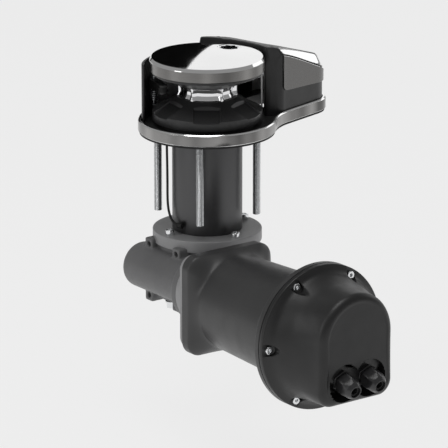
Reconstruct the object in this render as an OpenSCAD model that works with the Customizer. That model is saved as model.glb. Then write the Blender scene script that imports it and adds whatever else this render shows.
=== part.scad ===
// Vertical electric anchor windlass with a chain gypsy on deck and a worm gearbox and motor below.
// Origin on the gypsy axis at the deck face, +Z up. The motor lies along -Y.

/* [Base] */
// Radius of the round end of the base
base_r = 83; // [82:0.5:86]
// Half width of the tail of the base
tail_half = 58; // [56:0.5:60]
// Reach of the tail from the gypsy axis
tail_reach = 184; // [180:1:190]
// Radius of the corners at the end of the tail
tail_corner = 36; // [30:1:40]
// Direction of the tail, in degrees from the X axis
tail_turn = 15; // [10:1:20]
// Height of the top edge of the base ring above the deck
ring_top = 17; // [16.5:0.5:18]

/* [Hood] */
// Height of the hood beside the gypsy
hood_top = 97; // [95:0.5:100]
// Height of the hood where its roof ends over the tail
hood_low = 66.5; // [64:0.5:68]
// Radius of the well in the hood that the gypsy turns in
well_r = 75; // [74:0.5:76]
// Height of the lower wall round the far side of the gypsy
low_wall_top = 83.5; // [80:0.5:88]

/* [Gypsy] */
// Radius of the lower half of the gypsy
gypsy_r = 66; // [64:0.5:67]
// Radius of the steel core between the halves
core_r = 33; // [31:0.5:34]
// Number of chain pockets
pockets = 6; // [5:1:7]
// Width of a chain pocket
pocket_w = 31; // [26:1:32]

/* [Cap] */
// Radius of the clutch cap
cap_r = 69; // [66:0.5:71]
// Height of the lower edge of the clutch cap
cap_z = 76.3; // [76.2:0.1:77]
// Radius at which the winch handle socket sits
socket_at = 48; // [44:1:50]
// Side of the two squares that make the star socket
socket_side = 17.5; // [17.5:0.1:18]

/* [Below deck] */
// Distance from the deck face down to the gearbox flange
deck_drop = 119.5; // [118:0.5:122]
// Outer radius of the spacer tube
tube_r = 42.3; // [42:0.1:43]
// Radius of the circle of deck studs
stud_circle = 60; // [58:0.5:62]
// Radius of a deck stud
stud_r = 5; // [5:0.5:5]
// Length of the deck studs below the deck face
stud_drop = 101; // [80:1:105]

/* [Gearbox] */
// Radius of the gearbox flange
flange_r = 66; // [65:0.5:68]
// Radius of the gearbox case below its flange
case_r = 62; // [61:0.5:63]
// Distance between the gypsy axis and the worm axis
centre_gap = 60; // [60:1:60]
// Number of teeth on the worm wheel
wheel_teeth = 36; // [36:1:36]
// Radius of the worm tube
worm_tube_r = 28; // [27:0.5:29]

/* [Motor] */
// Half width of the square end of the motor cover
square_half = 61; // [59:0.5:62]
// Radius of the motor cover next to its square end
cover_r = 57; // [56:0.5:58]
// Radius of the joint ring of the motor cover and the end cap
joint_r = 86; // [84:0.5:87]
// Distance from the gypsy axis to the joint of the end cap
joint_y = 292; // [288:1:296]
// Distance from the gypsy axis to the face of the end cap
face_y = 366; // [362:1:368]
// Downward tilt of the cable glands, in degrees
gland_tilt = 15; // [10:1:20]

/* [Hidden] */

base_z = 2;
plate_top = 11;
boss_top = 14;
blend_r = 80;
blend_at = sqrt(pow(base_r + blend_r, 2) - pow(tail_half + blend_r, 2));
blend_turn = atan2(tail_half + blend_r, blend_at);
hood_inset = 4.5;
crown_z = 89;
crown_end = 52.5;
crown_fall = 20.5;
crown_tilt = 54;
low_wall_turn = 46;
corner_u = tail_reach - tail_corner + (tail_corner - hood_inset) * cos(45);
corner_v = tail_half - tail_corner + (tail_corner - hood_inset) * sin(45);
shaft_r = 12.5;
run_fit = 0.05;
bush_r = 17;
waist_low = 45;
waist_high = 60;
lower_z = 16.2;
upper_z = 75.8;
band_h = 12.5;
cap_rim = 12.4;
socket_turn = 20;
wheel_module = 2.5;
wheel_r = wheel_teeth * wheel_module / 2;
worm_r = centre_gap - wheel_r;
thread_pitch = PI * wheel_module;
lead_turn = atan(thread_pitch / (2 * PI * worm_r));
addendum = 2.1;
dedendum = 2.9;
tooth_play = 0.75;
worm_x = -centre_gap;
worm_z = -168;
flange_top = -deck_drop;
flange_low = flange_top - 14.5;
case_low = -203;
cavity_r = 50.5;
worm_end = 57;
case_front = -72;
plug_at = [-53, 0];
cover_back = -112;
screw_turns = [0, 60, 120, 180, 240, 300];
gland_gap = 36;
gland_y = -352;
gland_z = worm_z - 31;
arm_turn = 121;
arm_at = 69.2;
arm_pin_r = 2.6;
post_at = 100;
post_gap = 38;
arm_low = 47;
arm_high = 58;
sensor_at = [-44, 22];
cable_route = [[-44, 22, -6], [-44, 22, -14], [-44, 21.6, -30], [-44, 21.2, -46], [-44, 21, -62],
               [-44, 21, -76], [-44.3, 20, -87], [-45, 17, -96], [-46, 12, -102.5],
               [-46.8, 6, -106.5], [-46.8, 0, -108], [-46.55, -3.45, -108.45]];
cable_r = 1.5;
stud_neck = stud_r - 0.5;

// Points along an arc from angle a0 to angle a1.
function arc(c, r, a0, a1, n) =
    [for (i = [0:n]) [c[0] + r * cos(a0 + (a1 - a0) * i / n), c[1] + r * sin(a0 + (a1 - a0) * i / n)]];

// All of a list but its first point.
function rest_of(l) = [for (i = [1:len(l) - 1]) l[i]];

// The plan of the base, moved inwards by inset: a circle, a tail and the blends between them.
function plan_points(inset) = concat(
    arc([tail_reach - tail_corner, tail_corner - tail_half], tail_corner - inset, -90, 0, 8),
    arc([tail_reach - tail_corner, tail_half - tail_corner], tail_corner - inset, 0, 90, 8),
    arc([blend_at, tail_half + blend_r], blend_r + inset, 270, 180 + blend_turn, 8),
    rest_of(arc([0, 0], base_r - inset, blend_turn, 360 - blend_turn, 56)),
    rest_of(arc([blend_at, -tail_half - blend_r], blend_r + inset, 180 - blend_turn, 90, 8)));

// A square with round corners, as points.
function square_points(half, r) = concat(
    arc([half - r, half - r], r, 0, 90, 8), arc([r - half, half - r], r, 90, 180, 8),
    arc([r - half, r - half], r, 180, 270, 8), arc([half - r, r - half], r, 270, 360, 8));

// Turns a shape from the direction of the tail to its place.
module in_tail() {
    rotate([0, 0, tail_turn])
        children();
}

module plan_slab(inset, low, high) {
    translate([0, 0, low])
        linear_extrude(high - low)
            polygon(plan_points(inset));
}

// Places a shape drawn along +Z so that it points along -Y from the worm axis.
module on_worm(y = 0) {
    translate([worm_x, y, worm_z])
        rotate([90, 0, 0])
            children();
}

module ring_of(count, r, turn = 0) {
    for (i = [0:count - 1])
        rotate([0, 0, turn + i * 360 / count])
            translate([r, 0, 0])
                children();
}

module pipe(r_out, r_in, low, high) {
    translate([0, 0, low])
        difference() {
            cylinder(r = r_out, h = high - low, $fn = 96);
            translate([0, 0, -1])
                cylinder(r = r_in, h = high - low + 2, $fn = 96);
        }
}

// A socket head screw: its head stands on z = 0 and its shank goes down.
module socket_screw(r, shank, head_r, head_h) {
    difference() {
        union() {
            cylinder(r = head_r, h = head_h, $fn = 32);
            translate([0, 0, -shank])
                cylinder(r = r, h = shank + 0.5, $fn = 32);
        }
        translate([0, 0, head_h * 0.45])
            cylinder(r = head_r * 0.55, h = head_h, $fn = 6);
    }
}

module base_gasket() {
    color("#1c1c1c")
        difference() {
            in_tail()
                plan_slab(1.5, 0, base_z);
            translate([0, 0, -1])
                cylinder(r = tube_r + 0.5, h = base_z + 2, $fn = 96);
            ring_of(4, stud_circle, 45)
                translate([0, 0, -1])
                    cylinder(r = stud_r + 0.5, h = base_z + 2, $fn = 48);
            translate([sensor_at[0], sensor_at[1], -1])
                cylinder(r = 6.3, h = base_z + 2, $fn = 48);
            in_tail()
                chain_hole(28.5, -1, base_z + 1);
        }
}

// The long hole in the tail that the chain falls through.
module chain_hole(r, low, high) {
    translate([0, 0, low])
        linear_extrude(high - low)
            polygon(concat(arc([128, 0], r, -90, 90, 16), arc([108, 0], r, 90, 270, 16)));
}

module base_ring() {
    color("#c9cac9")
        in_tail()
            difference() {
                union() {
                    plan_slab(1.2, base_z, base_z + 2);
                    plan_slab(0, base_z + 2, ring_top - 1.5);
                    plan_slab(1.2, ring_top - 1.5, ring_top);
                }
                plan_slab(3.5, base_z - 1, ring_top + 1);
            }
}

module base_plate() {
    color("#232323")
        difference() {
            union() {
                in_tail()
                    plan_slab(3.6, base_z, plate_top);
                translate([0, 0, -14])
                    cylinder(r = 36.8, h = boss_top + 14, $fn = 96);
                cylinder_from(plate_top - 1, boss_top, 58);
            }
            translate([0, 0, -15])
                cylinder(r = bush_r, h = 40, $fn = 96);
            ring_of(4, stud_circle, 45)
                translate([0, 0, base_z - 1])
                    cylinder(r = stud_neck + run_fit, h = 7, $fn = 48);
            translate([sensor_at[0], sensor_at[1], base_z - 1])
                cylinder(r = 6.3, h = 20, $fn = 48);
            ring_of(4, 39.6)
                translate([0, 0, -20])
                    cylinder(r = 2.6, h = 40, $fn = 32);
            ring_of(4, 39.6)
                translate([0, 0, boss_top - 5])
                    cylinder(r = 4.6, h = 10, $fn = 32);
            pipe(38, 35.38, -6.85, -5.15);
            in_tail()
                chain_hole(28.5, -1, 20);
        }
}

module cylinder_from(low, high, r) {
    translate([0, 0, low])
        cylinder(r = r, h = high - low, $fn = 96);
}

module chain_pipe_collar() {
    color("#2c2c2c")
        in_tail()
            difference() {
                union() {
                    chain_hole(28.4, base_z, plate_top + 3);
                    chain_hole(31, plate_top + 0.05, plate_top + 3);
                }
                chain_hole(25, 0, 20);
            }
}

// Height of the hood roof at a distance u along the tail: it falls ever faster, then evenly.
function roof_z(u) =
    let (t = (u - 62) / (tail_reach - 68))
    hood_top - (hood_top - hood_low) * t * (0.3 + t * (1.64 - 0.94 * t));

// Side view of the hood roof: level beside the gypsy, then falling towards the end of the tail.
function roof_points(drop) = concat(
    [[-120, plate_top + 0.05], [-120, hood_top - drop]],
    [for (i = [0:10]) let (u = 62 + i * (tail_reach - 68) / 10) [u, roof_z(u) - drop]],
    [[tail_reach, hood_low - 2 - drop], [tail_reach, plate_top + 0.05]]);

module roof_block(drop) {
    translate([0, 90, 0])
        rotate([90, 0, 0])
            linear_extrude(180)
                polygon(roof_points(drop));
}

// The open side of the hood, where the gypsy shows.
module open_side() {
    linear_extrude(130)
        polygon([[-34, 45], [0, 0], [64.6, -36.9], [89.8, -68], [89.8, -130], [-130, -130], [-130, 100]]);
}

// What is cut away above the sloping crown along both sides, the corners and the end of the tail.
module crown_cuts(lift) {
    for (side = [0, 1])
        mirror([0, side, 0]) {
            translate([72, tail_half - hood_inset, crown_z])
                rotate([0, crown_fall, 0])
                    rotate([-crown_tilt, 0, 0])
                        translate([-30, -30, lift])
                            cube([200, 70, 40]);
            translate([corner_u, corner_v, crown_end])
                rotate([0, 0, 45])
                    rotate([0, 60, 0])
                        translate([-40, -60, lift])
                            cube([80, 120, 40]);
        }
    translate([tail_reach - hood_inset, 0, crown_end + 0.5])
        rotate([0, 60, 0])
            translate([-40, -80, lift])
                cube([80, 160, 40]);
}

// What is cut away above the lower wall, from the step in the hood round to its far end.
module low_wall_cut() {
    step = [140 * cos(low_wall_turn), 140 * sin(low_wall_turn)];
    translate([0, 0, low_wall_top])
        linear_extrude(40)
            polygon([[0, 0], step, [-140, 140], [-140, 0]]);
}

module hood_shell() {
    color("#262626")
        in_tail()
            difference() {
                intersection() {
                    plan_slab(hood_inset, plate_top + 0.05, hood_top);
                    roof_block(0);
                }
                cylinder_from(0, 120, well_r);
                difference() {
                    intersection() {
                        plan_slab(hood_inset + 4, 0, 120);
                        roof_block(5);
                        translate([90, -80, 0])
                            cube([90, 160, 120]);
                    }
                    crown_cuts(-4);
                }
                translate([40, -34, 0])
                    cube([60, 68, 70]);
                open_side();
                low_wall_cut();
                crown_cuts(0);
                for (v = [-1, 1])
                    translate([71, v * 40, hood_top - 6])
                        cylinder(r = 5, h = 10, $fn = 32);
                for (v = [-1, 1])
                    translate([71, v * 40, hood_top - 30])
                        cylinder(r = 3.2, h = 30, $fn = 32);
            }
}

// The polished cover that wraps the sides and the end of the tail, with its strip along the crown.
module hood_trim() {
    color("#8d8f90")
        in_tail() {
            intersection() {
                difference() {
                    plan_slab(hood_inset - 1.6, 20, hood_top);
                    plan_slab(hood_inset - 0.05, 19, hood_top + 1);
                }
                translate([0, 90, 0])
                    rotate([90, 0, 0])
                        linear_extrude(180)
                            polygon(concat(
                                arc([87, 50], 8, 180, 270, 6),
                                [[tail_reach, 37], [tail_reach, crown_end - 1],
                                 [170, crown_end - 1], [79, crown_z - 3.6]]));
            }
            intersection() {
                plan_slab(hood_inset - 1, 40, hood_top);
                roof_block(-0.3);
                difference() {
                    crown_cuts(0.03);
                    crown_cuts(1);
                }
                translate([79, -90, 0])
                    cube([150, 180, 120]);
            }
        }
}

module hood_screws() {
    color("#d2d4d5")
        in_tail()
            for (v = [-1, 1])
                translate([71, v * 40, hood_top - 6])
                    socket_screw(3, 22, 4.8, 4);
}

// A polished arc of sheet that keeps the chain off the inside of the hood.
module chain_guard() {
    color("#c4c6c7")
        in_tail()
            difference() {
                intersection() {
                    pipe(well_r - 0.3, well_r - 2.5, boss_top - 2.9, 73);
                    linear_extrude(80)
                        polygon([[0, 0], [120, -57], [120, 120], [-20, 120]]);
                }
                translate([40, -30, 18])
                    cube([60, 60, 46]);
            }
}

module chain_stripper() {
    color("#d0d2d3")
        in_tail()
            difference() {
                union() {
                    translate([34, -7, 48])
                        cube([post_at - 34, 14, 8]);
                    translate([post_at - 7, -post_gap - 6, 48])
                        cube([14, 2 * post_gap + 12, 8]);
                    for (v = [-1, 1])
                        translate([post_at, v * post_gap, plate_top + 0.05])
                            cylinder(r = 6, h = 38, $fn = 48);
                }
                cylinder_from(40, 62, core_r + 4.2);
                for (v = [-1, 1])
                    translate([post_at, v * post_gap, plate_top - 1])
                        cylinder(r = 3, h = 60, $fn = 32);
            }
}

module stripper_screws() {
    color("#d7d9da")
        in_tail()
            for (v = [-1, 1])
                translate([post_at, v * post_gap, 56])
                    socket_screw(2.95, 44, 5, 5);
}

module at_arm() {
    rotate([0, 0, arm_turn])
        translate([arm_at, 0, 0])
            children();
}

module control_arm_pin() {
    color("#c9cbcc")
        at_arm() {
            cylinder_from(plate_top + 0.05, 64, arm_pin_r);
            cylinder_from(arm_low - 14, arm_low - 12.5, 5.4);
        }
}

// The sprung lever that holds the chain in its pockets.
module control_arm() {
    color("#2d2d2d")
        at_arm()
            difference() {
                union() {
                    cylinder_from(arm_low, arm_high, 5.4);
                    translate([0, 0, arm_low])
                        linear_extrude(arm_high - arm_low)
                            polygon([[3, -5], [-6, -5.5], [-23, 20], [-18, 24], [4, 4]]);
                    translate([-21, 22, arm_low])
                        cylinder(r = 5, h = arm_high - arm_low, $fn = 48);
                }
                cylinder_from(arm_low - 1, arm_high + 1, arm_pin_r + run_fit);
                translate([-21, 22, arm_low + 2.5])
                    cylinder(r = 8.2, h = 6, $fn = 48);
            }
}

module control_arm_roller() {
    color("#bfc1c2")
        at_arm()
            translate([-21, 22, arm_low + 2.7])
                cylinder(r = 5.5, h = 5.6, $fn = 48);
}

module control_arm_spring() {
    color("#9a9c9d")
        at_arm()
            for (i = [0:3])
                translate([0, 0, arm_low - 11 + i * 2.5])
                    rotate_extrude($fn = 48)
                        translate([4.6, 0])
                            circle(r = 1, $fn = 16);
}

module chain_sensor() {
    color("#35383b")
        translate([sensor_at[0], sensor_at[1], 0]) {
            cylinder_from(-6, 12.5, 6);
        }
}

function unit(v) = v / norm(v);

// Points of one ring of the cable, across its direction at point i.
function ring_points(path, i, r, sides) =
    let (last = len(path) - 1,
         dir = unit(path[min(i + 1, last)] - path[max(i - 1, 0)]),
         side = unit(cross(dir, [0.3, 1, 0.1])),
         up = cross(side, dir))
    [for (k = [0:sides - 1]) path[i] + r * (cos(k * 360 / sides) * side + sin(k * 360 / sides) * up)];

module cord_tube(path, r, sides) {
    rings = len(path);
    polyhedron(
        points = [for (i = [0:rings - 1]) each ring_points(path, i, r, sides)],
        faces = concat(
            [[for (k = [0:sides - 1]) k]],
            [for (i = [0:rings - 2]) for (k = [0:sides - 1])
                [i * sides + k, (i + 1) * sides + k, (i + 1) * sides + (k + 1) % sides,
                 i * sides + (k + 1) % sides]],
            [[for (k = [sides - 1:-1:0]) (rings - 1) * sides + k]]));
}

module sensor_cable() {
    color("#171717")
        cord_tube(cable_route, cable_r, 8);
}

module cable_grommet() {
    color("#141414")
        translate([-46.9, -4.1, -108.5])
            rotate([90, 0, 20])
                cylinder(r1 = 3.4, r2 = 3.4, h = 6, $fn = 32);
}

module deck_studs() {
    color("#d3d5d6")
        ring_of(4, stud_circle, 45) {
            cylinder_from(-stud_drop, -0.3, stud_r);
            cylinder_from(-1, base_z + 5.5, stud_neck);
        }
}

module tube_screws() {
    color("#c6c8c9")
        ring_of(4, 39.6)
            translate([0, 0, boss_top - 5])
                socket_screw(2.5, 22, 4.3, 4);
}

module spacer_tube() {
    color("#4a4b4c")
        difference() {
            pipe(tube_r, 37, flange_top, base_z);
            ring_of(4, 39.6)
                translate([0, 0, -14])
                    cylinder(r = 2.55, h = 20, $fn = 32);
        }
}

module tube_seal() {
    color("#101010")
        pipe(36.98, 35.4, -6.8, -5.2);
}

module base_bush() {
    color("#b98a3e")
        union() {
            pipe(bush_r - 0.02, shaft_r + run_fit, -14, boss_top + 0.02);
            pipe(bush_r + 5, shaft_r + run_fit, boss_top + 0.02, boss_top + 2);
        }
}

module main_shaft() {
    color("#b9bcbe")
        difference() {
            union() {
                cylinder_from(-198, 84, shaft_r);
                cylinder_from(-150, -138, 17);
            }
            translate([shaft_r - 3.5, -4, 18])
                cube([6, 8, 20]);
            translate([-shaft_r - 2.5, -4, -178])
                cube([6, 8, 24]);
        }
}

module lower_cone() {
    color("#a7a9aa")
        difference() {
            union() {
                translate([0, 0, lower_z + 0.4])
                    cylinder(r1 = 40, r2 = 27, h = 24.5, $fn = 96);
            }
            cylinder_from(0, 60, shaft_r);
            translate([shaft_r - 3.5, -4, 15])
                cube([6.8, 8, 30]);
        }
}

module cone_key() {
    color("#8f9294") {
        translate([shaft_r - 3.5, -4, 18.1])
            cube([6.7, 8, 19.8]);
        translate([-shaft_r - 2.9, -4, -177.9])
            cube([6.4, 8, 23.8]);
    }
}

// The pockets that hold the links, cut into the slope of a gypsy half.
module pocket_cuts() {
    ring_of(pockets, 0, 233)
        translate([54, 0, 0])
            rotate([0, 26.7, 0])
                translate([-14, -pocket_w / 2, -4.2])
                    cube([40, pocket_w, 20]);
}

module gypsy_half() {
    difference() {
        rotate_extrude($fn = 96)
            polygon([[40.5, 0], [gypsy_r - 1.2, 0], [gypsy_r, 1.2], [gypsy_r, band_h - 1],
                     [gypsy_r - 1.5, band_h + 0.3], [core_r + 3, waist_low - lower_z],
                     [20, waist_low - lower_z], [20, 25.2], [27.2, 25.2]]);
        translate([0, 0, 21.5])
            pocket_cuts();
    }
}

module gypsy_lower() {
    color("#2b2b2b")
        translate([0, 0, lower_z])
            gypsy_half();
}

module gypsy_upper() {
    color("#2b2b2b")
        translate([0, 0, upper_z])
            mirror([0, 0, 1])
                difference() {
                    gypsy_half_upper();
                    translate([0, 0, 14])
                        pocket_cuts_upper();
                }
}

module gypsy_half_upper() {
    rotate_extrude($fn = 96)
        polygon([[40.5, 0], [gypsy_r - 1, 0], [gypsy_r, 1], [gypsy_r - 1.5, 3],
                 [core_r + 3, upper_z - waist_high], [20, upper_z - waist_high], [20, 12.8],
                 [28, 12.8]]);
}

module pocket_cuts_upper() {
    ring_of(pockets, 0, 233)
        translate([54, 0, 0])
            rotate([0, 23, 0])
                translate([-14, -pocket_w / 2, -4.2])
                    cube([40, pocket_w, 20]);
}

module gypsy_core() {
    color("#d9dbdc")
        difference() {
            union() {
                cylinder_from(waist_low, waist_high, core_r);
                ring_of(pockets, core_r, 263)
                    cylinder_from(waist_low, waist_high, 3.2);
            }
            cylinder_from(waist_low - 1, waist_high + 1, shaft_r + run_fit);
        }
}

module star(side, h) {
    for (a = [0, 45])
        rotate([0, 0, a])
            translate([-side / 2, -side / 2, 0])
                cube([side, side, h]);
}

module at_socket() {
    rotate([0, 0, socket_turn])
        translate([socket_at, 0, 0])
            children();
}

module clutch_cap() {
    color("#dcdedf")
        difference() {
            rotate_extrude($fn = 128)
                polygon([[shaft_r + run_fit, 63.6], [27, 63.6], [27.4, 64], [39.6, cap_z], [cap_r, cap_z],
                         [cap_r, cap_z + cap_rim], [cap_r - 6, cap_z + cap_rim + 3.8],
                         [42, cap_z + cap_rim + 5], [20, cap_z + cap_rim + 5.6],
                         [0, cap_z + cap_rim + 5.8], [0, 84.3], [shaft_r + run_fit, 84.3]]);
            at_socket()
                cylinder_from(cap_z + 2, 110, 14.6);
        }
}

module socket_insert() {
    color("#b4b6b7")
        at_socket()
            difference() {
                cylinder_from(cap_z + 2, cap_z + cap_rim + 4.6, 14.6);
                translate([0, 0, cap_z + 4])
                    star(socket_side, 30);
            }
}

module gearbox_flange() {
    color("#8e9092")
        difference() {
            union() {
                rotate_extrude($fn = 96)
                    polygon([[0, flange_low], [flange_r - 1.5, flange_low], [flange_r, flange_low + 1.5],
                             [flange_r, flange_top - 1.5], [flange_r - 1.5, flange_top], [0, flange_top]]);
                cylinder_from(flange_top - 1, flange_top + 8, 36.8);
            }
            cylinder_from(-140, -100, shaft_r + 4);
            cylinder_from(flange_low - 1, flange_top - 1.9, 26);
            cylinder_from(flange_top + 1, flange_top + 10, 22);
            ring_of(4, 56)
                cylinder_from(-150, -100, 3.3);
        }
}

module flange_screws() {
    color("#cfd1d2")
        ring_of(4, 56)
            translate([0, 0, flange_top])
                socket_screw(3, 28, 5.2, 6.2);
}

// The cast gearbox: a drum round the worm wheel and a tube round the worm.
module gearbox_case() {
    color("#77797b")
        difference() {
            union() {
                rotate_extrude($fn = 96)
                    polygon([[0, case_low], [case_r - 3, case_low], [case_r, case_low + 3],
                             [case_r, flange_low], [0, flange_low]]);
                on_worm(worm_end)
                    rotate_extrude($fn = 96)
                        polygon(concat([[0, 0]],
                                       arc([worm_tube_r - 7, 7], 7, -90, 0, 6),
                                       [[worm_tube_r, worm_end - case_front], [0, worm_end - case_front]]));
                on_worm(case_front + 12)
                    cylinder(r = 40, h = 12, $fn = 96);
                for (y = [-1, 1])
                    for (z = [-1, 1])
                        translate([-68, y * 27.5 - 7.5, worm_z + z * 32 - 7.5])
                            cube([26, 15, 15]);
            }
            cylinder_from(case_low + 13, flange_low + 1, cavity_r);
            cylinder_from(case_low + 3, case_low + 20, 18);
            on_worm(40)
                cylinder(r = 19, h = 90, $fn = 96);
            on_worm(50)
                cylinder(r = 15, h = 160, $fn = 96);
            for (y = [-1, 1])
                for (z = [-1, 1])
                    translate([-69, y * 27.5, worm_z + z * 32])
                        rotate([0, 90, 0])
                            cylinder(r = 3.4, h = 7.2, $fn = 32);
            ring_of(4, 56)
                cylinder_from(flange_low - 20, flange_low + 1, 3);
            translate([plug_at[0], plug_at[1], case_low - 1])
                cylinder(r = 5, h = 15, $fn = 32);
            cylinder_from(flange_low, flange_top, flange_r + 0.3);
        }
}

module drain_plug() {
    color("#c7c9ca")
        translate([plug_at[0], plug_at[1], case_low - 8])
            difference() {
                union() {
                    cylinder(r = 7.5, h = 6.5, $fn = 6);
                    translate([0, 0, 6])
                        cylinder(r = 8.2, h = 1.98, $fn = 48);
                    cylinder(r = 4.95, h = 20, $fn = 32);
                }
                translate([0, 0, -1])
                    cylinder(r = 3, h = 3, $fn = 6);
            }
}

module lower_bush() {
    color("#b98a3e")
        pipe(18, shaft_r + run_fit, case_low + 4, case_low + 20);
}

module bearing_outer() {
    color("#c2c4c5")
        difference() {
            pipe(26, 21.6, flange_low + 0.3, flange_top - 1.9);
            translate([0, 0, (flange_low + flange_top - 1.6) / 2])
                rotate_extrude($fn = 96)
                    translate([19.2, 0])
                        circle(r = 3.6, $fn = 32);
        }
}

module bearing_inner() {
    color("#c2c4c5")
        difference() {
            pipe(16.8, shaft_r, flange_low + 0.3, flange_top - 2.2);
            translate([0, 0, (flange_low + flange_top - 1.6) / 2])
                rotate_extrude($fn = 96)
                    translate([19.2, 0])
                        circle(r = 3.6, $fn = 32);
        }
}

module bearing_balls() {
    color("#dfe1e2")
        ring_of(12, 19.2)
            translate([0, 0, (flange_low + flange_top - 1.6) / 2])
                sphere(r = 3.5, $fn = 24);
}

module shaft_seal() {
    color("#1b1b1b")
        pipe(22, shaft_r + run_fit, flange_top + 1, flange_top + 8);
}

// Straight teeth, each tipped to the lead of the worm.
module worm_wheel() {
    half_root = thread_pitch / 4 - tooth_play / 2 + dedendum * tan(20);
    half_tip = thread_pitch / 4 - tooth_play / 2 - addendum * tan(20);
    color("#b88a42")
        difference() {
            union() {
                cylinder_from(worm_z - 9, worm_z + 9, wheel_r - dedendum);
                cylinder_from(worm_z - 15, worm_z + 17.5, 22);
                ring_of(wheel_teeth, wheel_r, 180)
                    translate([0, 0, worm_z])
                        rotate([lead_turn, 0, 0])
                            translate([0, 0, -8])
                                linear_extrude(16)
                                    polygon([[-dedendum - 1.2, -half_root], [addendum, -half_tip],
                                             [addendum, half_tip], [-dedendum - 1.2, half_root]]);
            }
            cylinder_from(-200, -100, shaft_r);
            translate([-shaft_r - 3, -4, worm_z - 20])
                cube([6, 8, 60]);
        }
}

// Radius of the worm across its section, at angle a from the middle of the thread.
function thread_r(a) =
    let (off = abs(a) / 360 * thread_pitch,
         flat_tip = thread_pitch / 4 - tooth_play / 2 - addendum * tan(20),
         flat_root = thread_pitch / 4 - tooth_play / 2 + dedendum * tan(20))
    off < flat_tip ? worm_r + addendum
    : off > flat_root ? worm_r - dedendum
    : worm_r + addendum - (off - flat_tip) / tan(20);

module worm_shaft() {
    thread_len = 44;
    color("#aeb1b3")
        union() {
            on_worm(thread_len / 2)
                rotate([0, 0, worm_phase])
                    linear_extrude(thread_len, twist = -360 * thread_len / thread_pitch, slices = 90)
                        polygon([for (i = [0:35]) thread_r(i * 10 - 180)
                                                  * [cos(i * 10 - 180), sin(i * 10 - 180)]]);
            on_worm(48)
                cylinder(r = 8, h = 40, $fn = 64);
            on_worm(-20)
                cylinder(r = 8, h = 106, $fn = 64);
        }
}
worm_phase = 360 * (22 / thread_pitch) - 30;

module worm_bearing_rear() {
    color("#c2c4c5")
        on_worm(48)
            difference() {
                cylinder(r = 15, h = 14, $fn = 96);
                translate([0, 0, -1])
                    cylinder(r = 8 + run_fit, h = 16, $fn = 96);
            }
}

module worm_bearing_front() {
    color("#c2c4c5")
        on_worm(-54)
            difference() {
                cylinder(r = 15, h = 16, $fn = 96);
                translate([0, 0, -1])
                    cylinder(r = 8 + run_fit, h = 18, $fn = 96);
            }
}

module motor_adapter() {
    color("#95979a")
        on_worm(case_front - 0.02)
            difference() {
                union() {
                    cylinder(r1 = 41, r2 = 46, h = 26, $fn = 96);
                    translate([0, 0, 20])
                        cylinder(r1 = 45, r2 = 57, h = 14, $fn = 96);
                    translate([0, 0, 31])
                        linear_extrude(8.9)
                            polygon(square_points(57, 16));
                }
                translate([0, 0, -1])
                    cylinder(r = 15, h = 60, $fn = 96);
                translate([0, 0, 16])
                    cylinder(r1 = 15, r2 = 38, h = 24, $fn = 96);
                for (x = [-1, 1])
                    for (y = [-1, 1])
                        translate([x * 45, y * 45, 20])
                            cylinder(r = 3.3, h = 30, $fn = 32);
                for (x = [-1, 1])
                    for (y = [-1, 1])
                        translate([x * 45, y * 45, -1])
                            cylinder(r = 9, h = 32, $fn = 32);
            }
}

module adapter_bolts() {
    color("#d2d4d5")
        for (x = [-1, 1])
            for (y = [-1, 1])
                on_worm(case_front - 31.02)
                    translate([x * 45, y * 45, 0])
                        rotate([180, 0, 0])
                            socket_screw(3, 18, 5.2, 6);
}

// The plastic cover over the motor: a square foot, a tapering barrel and a wide joint ring.
module motor_cover() {
    color("#2f2f30")
        on_worm(cover_back)
            difference() {
                union() {
                    rotate_extrude($fn = 128)
                        polygon([[0, 6], [cover_r, 6], [cover_r + 1, 30], [cover_r + 5.5, 146],
                                 [cover_r + 9, 156], [joint_r - 10, 167], [joint_r - 3, 171.5],
                                 [joint_r, 174], [joint_r, joint_y + cover_back],
                                 [0, joint_y + cover_back]]);
                    linear_extrude(12)
                        polygon(square_points(square_half, 18));
                    hull() {
                        translate([0, 0, 11])
                            linear_extrude(1)
                                polygon(square_points(square_half - 1, 18));
                        translate([0, 0, 24])
                            cylinder(r = cover_r + 0.3, h = 4, $fn = 32);
                    }
                }
                translate([0, 0, -1])
                    cylinder(r = cover_r - 3.5, h = 150, $fn = 96);
                translate([0, 0, 148])
                    cylinder(r1 = cover_r - 3.5, r2 = joint_r - 14, h = 24, $fn = 96);
                translate([0, 0, 171])
                    cylinder(r = joint_r - 14, h = 20, $fn = 96);
                for (x = [-1, 1])
                    for (y = [-1, 1])
                        translate([x * 45, y * 45, -1])
                            cylinder(r = 3.1, h = 12, $fn = 32);
                for (a = screw_turns)
                    rotate([0, 0, a])
                        translate([78, 0, 150])
                            cylinder(r = 2.5, h = 60, $fn = 32);
            }
}

module motor_can() {
    color("#5c5e60")
        on_worm(cover_back - 2)
            difference() {
                cylinder(r = 51, h = 134, $fn = 96);
                translate([0, 0, 6])
                    cylinder(r = 48, h = 140, $fn = 96);
                translate([0, 0, -1])
                    cylinder(r = 8 + run_fit, h = 20, $fn = 96);
            }
}

module field_magnets() {
    color("#3d3f41")
        on_worm(cover_back - 14)
            difference() {
                cylinder(r = 48, h = 90, $fn = 96);
                translate([0, 0, -1])
                    cylinder(r = 38, h = 92, $fn = 96);
                for (a = [0, 90])
                    rotate([0, 0, a])
                        translate([-60, -7, -1])
                            cube([120, 14, 92]);
            }
}

module armature() {
    color("#6e5a46")
        on_worm(cover_back - 18)
            union() {
                difference() {
                    cylinder(r = 36.5, h = 82, $fn = 96);
                    ring_of(16, 36)
                        translate([-4, -1.5, -1])
                            cube([8, 3, 84]);
                    translate([0, 0, -1])
                        cylinder(r = 7.9, h = 30, $fn = 64);
                }
                translate([0, 0, 80])
                    cylinder(r = 8, h = 52, $fn = 64);
            }
}

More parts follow.
